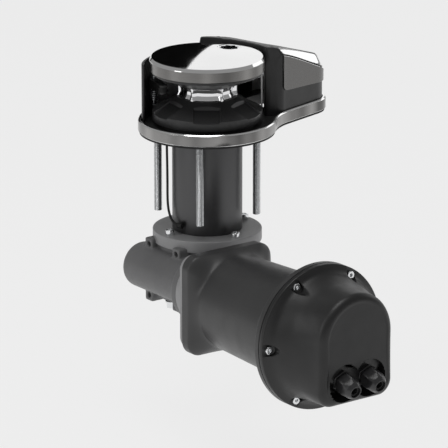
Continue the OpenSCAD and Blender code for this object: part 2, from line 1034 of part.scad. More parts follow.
module commutator() {
    color("#b06f3a")
        on_worm(cover_back - 104)
            difference() {
                cylinder(r = 20, h = 22, $fn = 96);
                translate([0, 0, -1])
                    cylinder(r = 8, h = 24, $fn = 64);
                ring_of(20, 20)
                    translate([-1.5, -0.5, -1])
                        cube([3, 1, 24]);
            }
}

module brush_holder() {
    color("#4b4036")
        on_worm(cover_back - 136.1)
            difference() {
                union() {
                    cylinder(r = 51, h = 6, $fn = 96);
                    ring_of(4, 31, 45)
                        translate([-9, -7, -17])
                            cube([18, 14, 18]);
                }
                translate([0, 0, -1])
                    cylinder(r = 8 + run_fit, h = 10, $fn = 64);
                ring_of(4, 31, 45)
                    translate([-12, -5, -15])
                        cube([20, 10, 12]);
            }
}

module brushes() {
    color("#202022")
        on_worm(cover_back - 136.1)
            ring_of(4, 31, 45)
                translate([-10.7, -4.9, -14.9])
                    cube([18, 9.8, 11.8]);
}

module terminal_studs() {
    color("#b57a3f")
        on_worm(cover_back - 142.1)
            ring_of(3, 32, 90) {
                cylinder(r = 4, h = 24, $fn = 32);
                translate([0, 0, 6])
                    cylinder(r = 7.5, h = 6, $fn = 6);
            }
}

module cap_gasket() {
    color("#0f0f0f")
        on_worm(-joint_y)
            difference() {
                cylinder(r = joint_r - 1.2, h = 1.2, $fn = 128);
                translate([0, 0, -1])
                    cylinder(r = joint_r - 14, h = 4, $fn = 128);
                for (a = screw_turns)
                    rotate([0, 0, a])
                        translate([78, 0, -1])
                            cylinder(r = 2.7, h = 5, $fn = 32);
            }
}

// The bell of the end cap: round at the joint ring, drawn in at the sides and below towards its face.
module cap_body(wall) {
    depth = face_y - joint_y - 1.2 - wall;
    intersection() {
        rotate_extrude($fn = 128)
            polygon([[0, 6], [80 - wall, 6], [77 - wall, 40], [71 - wall, depth - 6],
                     [66 - wall, depth], [0, depth]]);
        translate([0, 100, 0])
            rotate([90, 0, 0])
                linear_extrude(200)
                    polygon([[wall - 76, 5], [76 - wall, 5], [53 - wall, depth + 1],
                             [wall - 53, depth + 1]]);
        translate([-100, 0, 0])
            rotate([90, 0, 90])
                linear_extrude(200)
                    polygon([[wall - 75, 5], [100, 5], [100, depth + 1], [wall - 61, depth + 1]]);
    }
}

module at_glands() {
    for (x = [-1, 1])
        translate([worm_x + x * gland_gap / 2, gland_y, gland_z])
            rotate([90 + gland_tilt, 0, 0])
                children();
}

// The plastic end cap with its screw scoops and the two recesses round the cable glands.
module end_cap() {
    color("#2a2a2b")
        difference() {
            union() {
                on_worm(-joint_y - 1.2)
                    difference() {
                        union() {
                            cylinder(r = joint_r, h = 6.5, $fn = 128);
                            cap_body(0);
                        }
                        translate([0, 0, -1])
                            cylinder(r = joint_r - 20, h = 14, $fn = 96);
                        cap_body(4);
                    }
                intersection() {
                    on_worm(-joint_y - 1.2)
                        cap_body(0);
                    at_glands()
                        translate([0, 0, -4])
                            cylinder(r = 24.5, h = 60, $fn = 64);
                }
            }
            at_glands()
                cylinder(r = 21, h = 60, $fn = 64);
            at_glands()
                translate([0, 0, -20])
                    cylinder(r = 10 + run_fit, h = 30, $fn = 48);
            on_worm(-joint_y - 1.2)
                for (a = screw_turns)
                    rotate([0, 0, a])
                        translate([78, 0, -2]) {
                            cylinder(r = 2.7, h = 20, $fn = 32);
                            translate([0, 0, 8])
                                cylinder(r = 6.5, h = 40, $fn = 32);
                        }
        }
}

module end_cap_screws() {
    color("#d8dadb")
        on_worm(-joint_y - 7.2)
            for (a = screw_turns)
                rotate([0, 0, a])
                    translate([78, 0, 0])
                        socket_screw(2.45, 22, 4.8, 4.6);
}

module gland_bodies() {
    color("#1d1d1e")
        at_glands()
            difference() {
                union() {
                    translate([0, 0, -10])
                        cylinder(r = 10, h = 24, $fn = 48);
                    cylinder(r = 13.9, h = 9, $fn = 6);
                }
                translate([0, 0, -12])
                    cylinder(r = 7, h = 40, $fn = 48);
            }
}

module gland_nuts() {
    color("#1d1d1e")
        at_glands()
            difference() {
                union() {
                    translate([0, 0, 12])
                        cylinder(r = 13.3, h = 12, $fn = 6);
                    translate([0, 0, 12])
                        rotate_extrude($fn = 48)
                            polygon([[0, 0], [11.5, 0], [11.5, 12], [10.2, 18], [7.5, 22], [0, 22]]);
                }
                translate([0, 0, 11])
                    cylinder(r = 10.05, h = 4, $fn = 48);
                translate([0, 0, 8])
                    cylinder(r = 6.6, h = 40, $fn = 48);
            }
}

module gland_seals() {
    color("#0c0c0c")
        at_glands()
            difference() {
                translate([0, 0, 15.2])
                    cylinder(r = 6.55, h = 16, $fn = 48);
                translate([0, 0, 8])
                    cylinder(r = 4.2, h = 40, $fn = 48);
            }
}

base_gasket();
base_ring();
base_plate();
chain_pipe_collar();
hood_shell();
hood_trim();
hood_screws();
chain_guard();
chain_stripper();
stripper_screws();
control_arm_pin();
control_arm();
control_arm_roller();
control_arm_spring();
chain_sensor();
sensor_cable();
cable_grommet();
deck_studs();
tube_screws();
spacer_tube();
tube_seal();
base_bush();
main_shaft();
lower_cone();
cone_key();
gypsy_lower();
gypsy_core();
gypsy_upper();
clutch_cap();
socket_insert();
gearbox_flange();
flange_screws();
gearbox_case();
drain_plug();
lower_bush();
bearing_outer();
bearing_balls();
bearing_inner();
shaft_seal();
worm_wheel();
worm_shaft();
worm_bearing_rear();
worm_bearing_front();
motor_adapter();
adapter_bolts();
motor_cover();
motor_can();
field_magnets();
armature();
commutator();
brush_holder();
brushes();
terminal_studs();
cap_gasket();
end_cap();
end_cap_screws();
gland_bodies();
gland_nuts();
gland_seals();
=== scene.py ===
"""Anchor windlass with its gearbox and motor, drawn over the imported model, with its stage and camera."""
import math

import bmesh
import bpy
import numpy as np
from bpy.props import FloatProperty, FloatVectorProperty, IntProperty, PointerProperty
from mathutils import Matrix, Vector


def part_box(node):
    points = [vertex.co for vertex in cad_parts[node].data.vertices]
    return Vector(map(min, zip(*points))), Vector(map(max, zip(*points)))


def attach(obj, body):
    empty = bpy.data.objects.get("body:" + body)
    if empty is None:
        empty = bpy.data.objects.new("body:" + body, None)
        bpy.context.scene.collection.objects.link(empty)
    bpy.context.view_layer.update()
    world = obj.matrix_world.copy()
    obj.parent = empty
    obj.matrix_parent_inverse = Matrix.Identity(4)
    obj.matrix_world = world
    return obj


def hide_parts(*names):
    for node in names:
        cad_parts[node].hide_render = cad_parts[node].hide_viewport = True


bl_info = {
    "name": "Anchor windlass",
    "version": (1, 0, 0),
    "blender": (4, 5, 0),
    "location": "View3D > Sidebar > Windlass",
    "description": "Builds the visible surfaces of a vertical anchor windlass",
    "category": "Object",
}

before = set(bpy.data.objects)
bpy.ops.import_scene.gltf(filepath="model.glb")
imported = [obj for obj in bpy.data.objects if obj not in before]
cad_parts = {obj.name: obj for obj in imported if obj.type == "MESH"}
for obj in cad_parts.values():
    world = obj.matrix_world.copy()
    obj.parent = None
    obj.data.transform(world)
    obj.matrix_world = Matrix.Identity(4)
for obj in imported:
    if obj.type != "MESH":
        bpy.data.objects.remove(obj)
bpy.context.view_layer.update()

MM = 0.001
TAIL_TURN = math.radians(15)
WORM_X, WORM_Z = -60.0, -168.0
REACH, TAIL_HALF, TAIL_CORNER = 184.0, 58.0, 36.0
BASE_R, BLEND_R = 83.0, 80.0
LOW_WALL, LOW_WALL_TURN = 83.5, 46.0
BLEND_U = math.sqrt((BASE_R + BLEND_R) ** 2 - (TAIL_HALF + BLEND_R) ** 2)
BLEND_V = TAIL_HALF + BLEND_R
BLEND_TURN = math.degrees(math.atan2(BLEND_V, BLEND_U))
SOCKET_AT, SOCKET_TURN, SOCKET_R = 48.0, math.radians(20), 14.62
CAP_EDGE_R = 66.6
HOOD_INSET, HOOD_FLOOR, HOOD_TOP, HOOD_LOW = 4.5, 11.05, 97.0, 66.5
JOINT_Y, FACE_Y = 292.0, 366.0
NEAR_STEPS, SIDE_STEPS, CORNER_STEPS, END_STEPS, FAR_STEPS = 8, 22, 26, 10, 20
STRAIGHT_END = NEAR_STEPS + 2 * SIDE_STEPS + 2 * CORNER_STEPS + END_STEPS
SCREW_TURNS = np.radians([0, 60, 120, 180, 240, 300])
CABLE_POINTS = np.array([
    [-44, 22, -6], [-44, 22, -14], [-44, 21.6, -30], [-44, 21.2, -46], [-44, 21, -62], [-44, 21, -76],
    [-44.3, 20, -87], [-45, 17, -96], [-46, 12, -102.5], [-46.8, 6, -106.5], [-46.8, 0, -108],
    [-46.55, -3.45, -108.45]])


# ---- shapes as arrays of points, in millimetres ----

def smooth(x):
    """0 below 0, 1 above 1, and 3x^2 - 2x^3 between."""
    x = np.clip(x, 0.0, 1.0)
    return x * x * (3 - 2 * x)


def soft_min(a, b, k):
    """The smaller of a and b, rounded off where they are within k of each other by the quadratic blend
    min - (k - |a - b|)^2 / 4k."""
    h = np.maximum(k - np.abs(a - b), 0.0)
    return np.minimum(a, b) - h * h / (4 * k)


def rounded(points, radii, steps=4, closed=False):
    """A polyline whose corners are replaced with arcs. Each arc touches both sides of its corner at
    r*cot(half angle), and its points are centre + r*(cos, sin)."""
    p = np.asarray(points, float)
    out = []
    n = len(p)
    for i in range(n):
        r = radii[i] if np.ndim(radii) else radii
        if r <= 0 or (not closed and i in (0, n - 1)):
            out.append(p[i][None])
            continue
        a, b = p[i - 1] - p[i], p[(i + 1) % n] - p[i]
        la, lb = np.linalg.norm(a), np.linalg.norm(b)
        a, b = a / la, b / lb
        half = math.acos(float(np.clip(a @ b, -1, 1))) / 2
        if half > 1.56 or half < 0.02:
            out.append(p[i][None])
            continue
        cut = min(r / math.tan(half), la * 0.49, lb * 0.49)
        r = cut * math.tan(half)
        centre = p[i] + (a + b) / np.linalg.norm(a + b) * (r / math.sin(half))
        s, e = p[i] + a * cut - centre, p[i] + b * cut - centre
        t = np.linspace(0, 1, steps + 1)[:, None]
        w = math.pi - 2 * half
        out.append(centre + (np.sin((1 - t) * w) * s + np.sin(t * w) * e) / math.sin(w))
    return np.vstack(out)


def turned(profile, steps=160, phase=0.0):
    """A profile of (radius, height) carried round the Z axis: (r cos a, r sin a, z) for a from 0 to a full
    turn."""
    p = np.asarray(profile, float)
    a = np.arange(steps) / steps * 2 * math.pi + phase
    return np.stack([p[:, :1] * np.cos(a), p[:, :1] * np.sin(a), np.repeat(p[:, 1:], steps, 1)], -1)


def polar(radius, height, steps):
    """A grid from radius(row, angle) and height(row, angle): (r cos a, r sin a, z)."""
    a = np.arange(steps) / steps * 2 * math.pi
    radius, height = np.broadcast_arrays(radius, height)
    return np.stack([radius * np.cos(a), radius * np.sin(a), height], -1)


def hex_radius(a, flat):
    """Distance from the middle to the side of a hexagon with that half width across flats, at angle a."""
    return flat / np.cos((a + math.pi / 6) % (math.pi / 3) - math.pi / 6)


def square_radius(a, half, r):
    """Distance from the middle to the edge of a square with round corners, at angle a: the flat side, or
    the far crossing of the corner's circle."""
    b = np.abs((a + math.pi / 4) % (math.pi / 2) - math.pi / 4)
    flat = half / np.cos(b)
    c = half - r
    along = c * (np.cos(b) + np.sin(b))
    round_part = along + np.sqrt(np.maximum(along ** 2 - 2 * c * c + r * r, 0.0))
    return np.where(half * np.tan(b) <= c, flat, round_part)


def arc_part(cx, cy, r, a0, a1, n, side):
    """Points of an arc with their outward directions; side is -1 where the outline bends inwards."""
    a = np.radians(np.linspace(a0, a1, n))
    d = np.stack([np.cos(a), np.sin(a)], -1)
    return np.array([cx, cy]) + r * d, side * d


def line_part(p0, p1, n, normal):
    """Points between two ends, with one outward direction."""
    t = np.linspace(0, 1, n)[:, None]
    return np.asarray(p0, float) * (1 - t) + np.asarray(p1, float) * t, np.repeat([normal], n, 0)


def joined(parts):
    return np.vstack([p for p, _ in parts]), np.vstack([d for _, d in parts])


def base_outline():
    """The closed plan of the base: the round end, the two inward blends, the straight sides and the tail's
    corners."""
    cu, cv = REACH - TAIL_CORNER, TAIL_HALF - TAIL_CORNER
    return joined([
        arc_part(cu, -cv, TAIL_CORNER, -90, 0, 24, 1), arc_part(cu, cv, TAIL_CORNER, 0, 90, 24, 1),
        arc_part(BLEND_U, BLEND_V, BLEND_R, 270, 180 + BLEND_TURN, 20, -1),
        arc_part(0, 0, BASE_R, BLEND_TURN, 360 - BLEND_TURN, 140, 1),
        arc_part(BLEND_U, -BLEND_V, BLEND_R, 180 - BLEND_TURN, 90, 20, -1)])


def open_outline(near_turn, far_turn, round_end):
    """The part of the base plan that the hood or its cover follows, from the near side round the tail. Past
    the far blend it goes on round the gypsy up to round_end degrees, or stops if that is None."""
    cu, cv = REACH - TAIL_CORNER, TAIL_HALF - TAIL_CORNER
    parts = [
        arc_part(BLEND_U, -BLEND_V, BLEND_R, near_turn, 90, NEAR_STEPS, -1),
        line_part((BLEND_U, -TAIL_HALF), (cu, -TAIL_HALF), SIDE_STEPS, (0, -1)),
        arc_part(cu, -cv, TAIL_CORNER, -90, 0, CORNER_STEPS, 1),
        line_part((REACH, -cv), (REACH, cv), END_STEPS, (1, 0)),
        arc_part(cu, cv, TAIL_CORNER, 0, 90, CORNER_STEPS, 1),
        line_part((cu, TAIL_HALF), (BLEND_U, TAIL_HALF), SIDE_STEPS, (0, 1)),
        arc_part(BLEND_U, BLEND_V, BLEND_R, 270, far_turn, FAR_STEPS, -1)]
    if round_end is not None:
        parts.append(arc_part(0, 0, BASE_R, BLEND_TURN, round_end, 60, 1))
    return joined(parts)


def roof_z(u):
    """Height of the hood roof: level beside the gypsy, then falling ever faster along the tail."""
    t = np.clip((u - 62) / (REACH - 68), 0, 1.02)
    return HOOD_TOP - (HOOD_TOP - HOOD_LOW) * t * (0.3 + t * (1.64 - 0.94 * t))


def crown_drop(u):
    """How far the sloping crown falls below the roof at the outer wall."""
    return np.clip(7.0 + (u - 72) * 0.093, 5.0, 16.0)


def tail(points):
    """Turns points from the direction of the tail to their place about Z."""
    c, s = math.cos(TAIL_TURN), math.sin(TAIL_TURN)
    x, y, z = np.moveaxis(np.asarray(points, float), -1, 0)
    return np.stack([x * c - y * s, x * s + y * c, z], -1)


def worm(points, y=0.0):
    """Lays points drawn up Z along -Y from the worm's axis."""
    x, b, z = np.moveaxis(np.asarray(points, float), -1, 0)
    return np.stack([WORM_X + x, y - z, WORM_Z + b], -1)


def gland(points, side):
    """Lays points drawn up Z along the tilted axis of a cable gland."""
    t = math.radians(105)
    x, b, z = np.moveaxis(np.asarray(points, float), -1, 0)
    return np.stack([WORM_X + side * 18 + x, -352 + b * math.cos(t) - z * math.sin(t),
                     WORM_Z - 31 + b * math.sin(t) + z * math.cos(t)], -1)


def fan(loop):
    """Closes a loop of points with a fan to their mean."""
    return np.stack([loop, np.repeat(loop.mean(0)[None], len(loop), 0)])


def tube(path, radius, sides=12):
    """A round tube along a path: each ring is the point plus r*(cos a N + sin a B), with N and B square to
    the path's direction."""
    p = np.asarray(path, float)
    d = np.gradient(p, axis=0)
    d /= np.linalg.norm(d, axis=1)[:, None]
    n = np.cross(d, [0.31, 0.94, 0.12])
    n /= np.linalg.norm(n, axis=1)[:, None]
    b = np.cross(d, n)
    a = np.arange(sides) / sides * 2 * math.pi
    across = np.cos(a)[None, :, None] * n[:, None] + np.sin(a)[None, :, None] * b[:, None]
    return p[:, None] + radius * across


def smooth_path(points, per=8):
    """A Catmull-Rom curve through the points: each span is the cubic whose slopes are half the chord
    between its neighbours."""
    p = np.vstack([2 * points[0] - points[1], points, 2 * points[-1] - points[-2]])
    t = np.linspace(0, 1, per, endpoint=False)[None, :, None]
    a, b, c, d = (p[i:len(p) - 3 + i, None] for i in range(4))
    q = 0.5 * (2 * b + (c - a) * t + (2 * a - 5 * b + 4 * c - d) * t ** 2 + (3 * b - a - 3 * c + d) * t ** 3)
    return np.vstack([q.reshape(-1, 3), points[-1:]])


def screw_head(r, shank, head_r, head_h, socket):
    """A socket head screw as one turned grid: up the shank, round the head, then down the hexagonal socket,
    whose rows run from a circle to a hexagon."""
    steps = 48
    a = np.arange(steps) / steps * 2 * math.pi
    one = np.ones(steps)
    outer = rounded([(0, -shank), (r, -shank), (r, 0), (head_r, 0), (head_r, head_h),
                     (socket * 1.3, head_h)],
                    [0, 0.4, 0, 0.15, head_r * 0.16, 0], 3)
    hexa = hex_radius(a, socket)
    rows = [row[0] * one for row in outer] + [hexa * 1.02, hexa * 0.98, hexa * 0.98, 0 * one]
    z = np.concatenate([outer[:, 1], [head_h, head_h - 0.25, head_h * 0.45, head_h * 0.4]])
    return polar(np.array(rows), z[:, None], steps)


def spots(count, r, turn=0.0):
    """Centres evenly spaced round a circle."""
    a = math.radians(turn) + np.arange(count) / count * 2 * math.pi
    return np.stack([r * np.cos(a), r * np.sin(a), 0 * a], -1)


# ---- from arrays to objects ----

def grid_faces(rows, cols, wrap_rows, wrap_cols, start):
    i, j = np.meshgrid(np.arange(rows - (not wrap_rows)), np.arange(cols - (not wrap_cols)), indexing="ij")
    i2, j2 = (i + 1) % rows, (j + 1) % cols
    quad = np.stack([i * cols + j, i2 * cols + j, i2 * cols + j2, i * cols + j2], -1)
    return quad.reshape(-1, 4) + start


def piece(name, grids, body, nodes, materials, angle=32, weld=1e-6, zones=None):
    """Makes one object from grids. Each grid is (points, wrap rows, wrap columns); points are in
    millimetres."""
    verts, faces, start = [], [], 0
    for points, wrap_rows, wrap_cols in grids:
        rows, cols = points.shape[:2]
        verts.append(points.reshape(-1, 3) * MM)
        faces.append(grid_faces(rows, cols, wrap_rows, wrap_cols, start))
        start += rows * cols
    verts, faces = np.vstack(verts), np.vstack(faces)
    mesh = bpy.data.meshes.new(name)
    mesh.vertices.add(len(verts))
    mesh.vertices.foreach_set("co", verts.astype(np.float32).ravel())
    mesh.loops.add(faces.size)
    mesh.loops.foreach_set("vertex_index", faces.astype(np.int32).ravel())
    mesh.polygons.add(len(faces))
    mesh.polygons.foreach_set("loop_start", np.arange(0, faces.size, 4, dtype=np.int32))
    mesh.update(calc_edges=True)
    bm = bmesh.new()
    bm.from_mesh(mesh)
    bmesh.ops.remove_doubles(bm, verts=bm.verts, dist=weld)
    bmesh.ops.dissolve_degenerate(bm, edges=bm.edges, dist=1e-7)
    bmesh.ops.recalc_face_normals(bm, faces=bm.faces)
    bm.to_mesh(mesh)
    bm.free()
    mesh.validate()
    mesh.polygons.foreach_set("use_smooth", np.ones(len(mesh.polygons), bool))
    mesh.set_sharp_from_angle(angle=math.radians(angle))
    obj = bpy.data.objects.new(name, mesh)
    bpy.context.scene.collection.objects.link(obj)
    for m in materials:
        mesh.materials.append(m)
    if zones is not None:
        n = len(mesh.polygons)
        centre, normal = np.empty(n * 3), np.empty(n * 3)
        mesh.polygons.foreach_get("center", centre)
        mesh.polygons.foreach_get("normal", normal)
        mesh.polygons.foreach_set("material_index",
                                  zones(centre.reshape(-1, 3) / MM, normal.reshape(-1, 3)).astype(np.int32))
    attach(obj, body)
    if nodes:
        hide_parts(*nodes)
    return obj


# ---- finishes ----

def linear(c):
    """Linear light from a display value of 0 to 1."""
    c = np.asarray(c, float)
    return np.where(c <= 0.04045, c / 12.92, ((c + 0.055) / 1.055) ** 2.4)


class Finish:
    """A material under construction: a Principled shader, and short ways to add nodes before it."""

    def __init__(self, name, colour, metallic, roughness, **sockets):
        self.mat = bpy.data.materials.new(name)
        self.mat.use_nodes = True
        self.tree = self.mat.node_tree
        self.bsdf = self.tree.nodes["Principled BSDF"]
        self.bsdf.inputs["Base Color"].default_value = (*colour, 1)
        self.bsdf.inputs["Metallic"].default_value = metallic
        self.bsdf.inputs["Roughness"].default_value = roughness
        for key, value in sockets.items():
            self.bsdf.inputs[key.replace("_", " ")].default_value = value
        self.colour, self.roughness = colour, roughness
        self.mat.diffuse_color = (*colour, 1)
        self.coords = self.add("ShaderNodeTexCoord").outputs["Object"]
        self.normal = None

    def add(self, kind, **values):
        node = self.tree.nodes.new(kind)
        for key, value in values.items():
            if key in node.inputs:
                node.inputs[key].default_value = value
            else:
                setattr(node, key, value)
        return node

    def link(self, a, b):
        self.tree.links.new(a, b)

    def stretch(self, scale):
        """Object coordinates, squeezed along each axis."""
        node = self.add("ShaderNodeMapping")
        node.inputs["Scale"].default_value = scale
        self.link(self.coords, node.inputs["Vector"])
        return node.outputs["Vector"]

    def noise(self, scale, detail=4.0, vector=None):
        node = self.add("ShaderNodeTexNoise", Scale=scale, Detail=detail)
        self.link(vector or self.coords, node.inputs["Vector"])
        return node.outputs["Fac"]

    def span(self, source, low, high, to_low, to_high):
        node = self.add("ShaderNodeMapRange")
        for key, value in (("From Min", low), ("From Max", high), ("To Min", to_low), ("To Max", to_high)):
            node.inputs[key].default_value = value
        self.link(source, node.inputs["Value"])
        return node.outputs["Result"]

    def vary_colour(self, source, amount):
        """Shifts the colour down and up by a share of itself, following a pattern."""
        ramp = self.add("ShaderNodeValToRGB")
        c = np.asarray(self.colour)
        ramp.color_ramp.elements[0].position = 0.3
        ramp.color_ramp.elements[1].position = 0.7
        ramp.color_ramp.elements[0].color = (*(c * (1 - amount)), 1)
        ramp.color_ramp.elements[1].color = (*np.minimum(c * (1 + amount), 1), 1)
        self.link(source, ramp.inputs["Fac"])
        self.link(ramp.outputs["Color"], self.bsdf.inputs["Base Color"])
        return ramp.outputs["Color"]

    def vary_roughness(self, source, amount):
        self.link(self.span(source, 0.3, 0.7, max(self.roughness - amount, 0.0), self.roughness + amount),
                  self.bsdf.inputs["Roughness"])

    def bump(self, source, strength, distance):
        node = self.add("ShaderNodeBump", Strength=strength, Distance=distance)
        self.link(source, node.inputs["Height"])
        if self.normal is not None:
            self.link(self.normal, node.inputs["Normal"])
        self.normal = node.outputs["Normal"]
        self.link(self.normal, self.bsdf.inputs["Normal"])

    def soften(self, radius):
        """Rounds off the look of hard edges."""
        node = self.add("ShaderNodeBevel", samples=4)
        node.inputs["Radius"].default_value = radius
        if self.normal is not None:
            self.link(self.normal, node.inputs["Normal"])
        self.normal = node.outputs["Normal"]
        self.link(self.normal, self.bsdf.inputs["Normal"])


def polished(name, colour, roughness, soften=0.0):
    """Bright metal with faint smudges and very fine polishing marks."""
    f = Finish(name, colour, 1.0, roughness)
    f.vary_roughness(f.noise(45, 5), roughness * 0.35)
    f.vary_colour(f.noise(14, 3), 0.03)
    f.bump(f.noise(900, 2), 0.02, 0.0002)
    if soften:
        f.soften(soften)
    return f.mat


def brushed(name, colour, roughness, along, soften=0.0, painted_reflection_bands=0.0):
    """Metal with fine lines that run along one axis: noise squeezed on the other two. If asked, broad
    upright bands are painted into the colour as painted reflections."""
    f = Finish(name, colour, 1.0, roughness)
    lines = f.noise(1.0, 3, f.stretch(along))
    f.vary_roughness(lines, roughness * 0.25)
    # When asked for, the colour follows broad upright stripes: painted reflections, lighter and darker.
    f.vary_colour(f.noise(1.0, 1, f.stretch((30, 30, 0.5))) if painted_reflection_bands else lines, painted_reflection_bands or 0.06)
    f.bump(lines, 0.08, 0.0002)
    if soften:
        f.soften(soften)
    return f.mat


def painted(name, colour, roughness, grain, coat=0.0, soften=0.0):
    """Paint or moulded plastic: a slow drift of tone, a fine surface grain and slightly worn gloss."""
    f = Finish(name, colour, 0.0, roughness, Coat_Weight=coat, Coat_Roughness=0.25)
    f.vary_colour(f.noise(22, 4), 0.07)
    f.vary_roughness(f.noise(60, 5), 0.05)
    f.bump(f.noise(1600, 3), grain, 0.0003)
    if soften:
        f.soften(soften)
    return f.mat


def cast(name, colour, roughness, soften=0.0):
    """Painted cast metal: a lumpy skin under fine pits, with a slow drift of tone."""
    f = Finish(name, colour, 0.0, roughness, Coat_Weight=0.08, Coat_Roughness=0.4)
    skin = f.noise(260, 6)
    f.vary_colour(f.noise(30, 5), 0.08)
    f.vary_roughness(skin, 0.06)
    f.bump(skin, 0.18, 0.0005)
    f.bump(f.noise(1500, 3), 0.08, 0.0002)
    if soften:
        f.soften(soften)
    return f.mat


def made_finishes(c):
    """Every finish by its name, from the colours of the panel."""
    grey = lambda v: tuple(float(x) for x in linear([v, v, v]))
    around = (220, 220, 2600)
    return {
        "cap_mirror": polished("Cap mirror", tuple(c.chrome), 0.04),
        # The cap rim and the base ring carry painted reflections as upright bands in their colour.
        "cap_rim": brushed("Cap rim", tuple(c.rim), 0.24, (30, 30, 5200), painted_reflection_bands=0.45),
        "ring": brushed("Base ring", tuple(c.ring), 0.2, (30, 30, 5200), painted_reflection_bands=0.5),
        "bright": polished("Bright stainless", (0.80, 0.81, 0.82), 0.09, 0.0002),
        "guard": brushed("Guard sheet", (0.75, 0.75, 0.75), 0.55, (60, 60, 2400), 0.0003),
        "bright_piece": polished("Bright core", (0.86, 0.86, 0.87), 0.06),
        "cover_sheet": brushed("Cover sheet", tuple(c.cover_sheet), 0.3, (60, 60, 2400)),
        "cover_strip": polished("Cover strip", (0.9, 0.9, 0.9), 0.12),
        "hood": painted("Hood paint", tuple(c.hood), 0.42, 0.05, 0.08),
        "gypsy": cast("Gypsy coat", tuple(c.gypsy), 0.36),
        "casting": cast("Black casting", tuple(c.casting), 0.5, 0.0004),
        "case": cast("Case paint", tuple(c.case), 0.5),
        "flange": cast("Flange paint", tuple(c.flange), 0.46),
        "tube": brushed("Tube anodised", tuple(c.tube), 0.42, around),
        "cover": painted("Motor cover plastic", tuple(c.cover), 0.42, 0.12, 0.1),
        # A darker copy of the cover plastic for the end cap: painted shade.
        "end": painted("End cap plastic with painted shade", tuple(c.end), 0.42, 0.12, 0.06),
        # Light grey inside the hood hollow: partly the moulding's own grey, partly painted light on a wall
        # in shade.
        "inner": painted("Inner wall with painted light", (0.5, 0.5, 0.5), 0.6, 0.05),
        "gland": painted("Gland plastic", tuple(c.gland), 0.33, 0.04, 0.2),
        "rubber": painted("Rubber", grey(0.09), 0.7, 0.2, 0.0, 0.0003),
        "bronze": brushed("Bronze", (0.55, 0.36, 0.14), 0.3, around, 0.0003),
        "steel": brushed("Machined steel", (0.5, 0.51, 0.52), 0.28, around, 0.0003),
        "can": painted("Motor can paint", grey(0.3), 0.45, 0.05, 0.1, 0.0003),
        "ferrite": cast("Ferrite", grey(0.22), 0.6, 0.0003),
        "copper": brushed("Copper", (0.62, 0.3, 0.16), 0.3, around, 0.0003),
        "stack": brushed("Lamination stack", (0.3, 0.25, 0.2), 0.4, (20, 9000, 20), 0.0003),
    }


FINISH = {}

NODE_FINISH = {
    "base_gasket": "rubber", "base_plate": "casting", "chain_pipe_collar": "casting",
    "chain_guard": "guard",
    "chain_stripper": "bright", "control_arm_pin": "steel", "control_arm": "casting",
    "control_arm_roller": "rubber", "control_arm_spring": "steel", "chain_sensor": "gland",
    "cable_grommet": "rubber", "tube_seal": "rubber", "base_bush": "bronze", "main_shaft": "steel",
    "lower_cone": "steel", "cone_key": "steel", "socket_insert": "bright", "lower_bush": "bronze",
    "bearing_outer": "steel", "bearing_balls": "bright", "bearing_inner": "steel", "shaft_seal": "rubber",
    "worm_wheel": "bronze", "worm_shaft": "steel", "worm_bearing_rear": "steel",
    "worm_bearing_front": "steel", "motor_can": "can", "field_magnets": "ferrite", "armature": "stack",
    "commutator": "copper", "brush_holder": "ferrite", "brushes": "ferrite", "terminal_studs": "copper",
    "cap_gasket": "rubber", "gland_seals": "rubber", "drain_plug": "bright",
}


# ---- settings ----

class WindlassSizes(bpy.types.PropertyGroup):
    pocket_width: FloatProperty(name="Pocket width", description="Width of a chain pocket", default=0.031,
                                unit="LENGTH")
    pocket_round: FloatProperty(name="Pocket rounding", description="Rounding of the pocket edges",
                                default=0.0016, unit="LENGTH")
    stud_pitch: FloatProperty(name="Stud pitch", description="Pitch of the thread on the deck studs",
                              default=0.0015, unit="LENGTH")
    stud_depth: FloatProperty(name="Thread depth", description="Depth of the thread on the deck studs",
                              default=0.0008, unit="LENGTH")
    ring_edge: FloatProperty(name="Ring edge", description="Width of the bright edges of the base ring",
                             default=0.0014, unit="LENGTH")
    crown_width: FloatProperty(name="Crown width", description="Width of the sloping crown of the hood",
                               default=0.0085, unit="LENGTH")
    pockets: IntProperty(name="Pockets", description="Number of chain pockets", default=6)
    floor_drop: FloatProperty(name="Floor depth", description="Depth of the floor below the deck face",
                              default=0.36, unit="LENGTH")


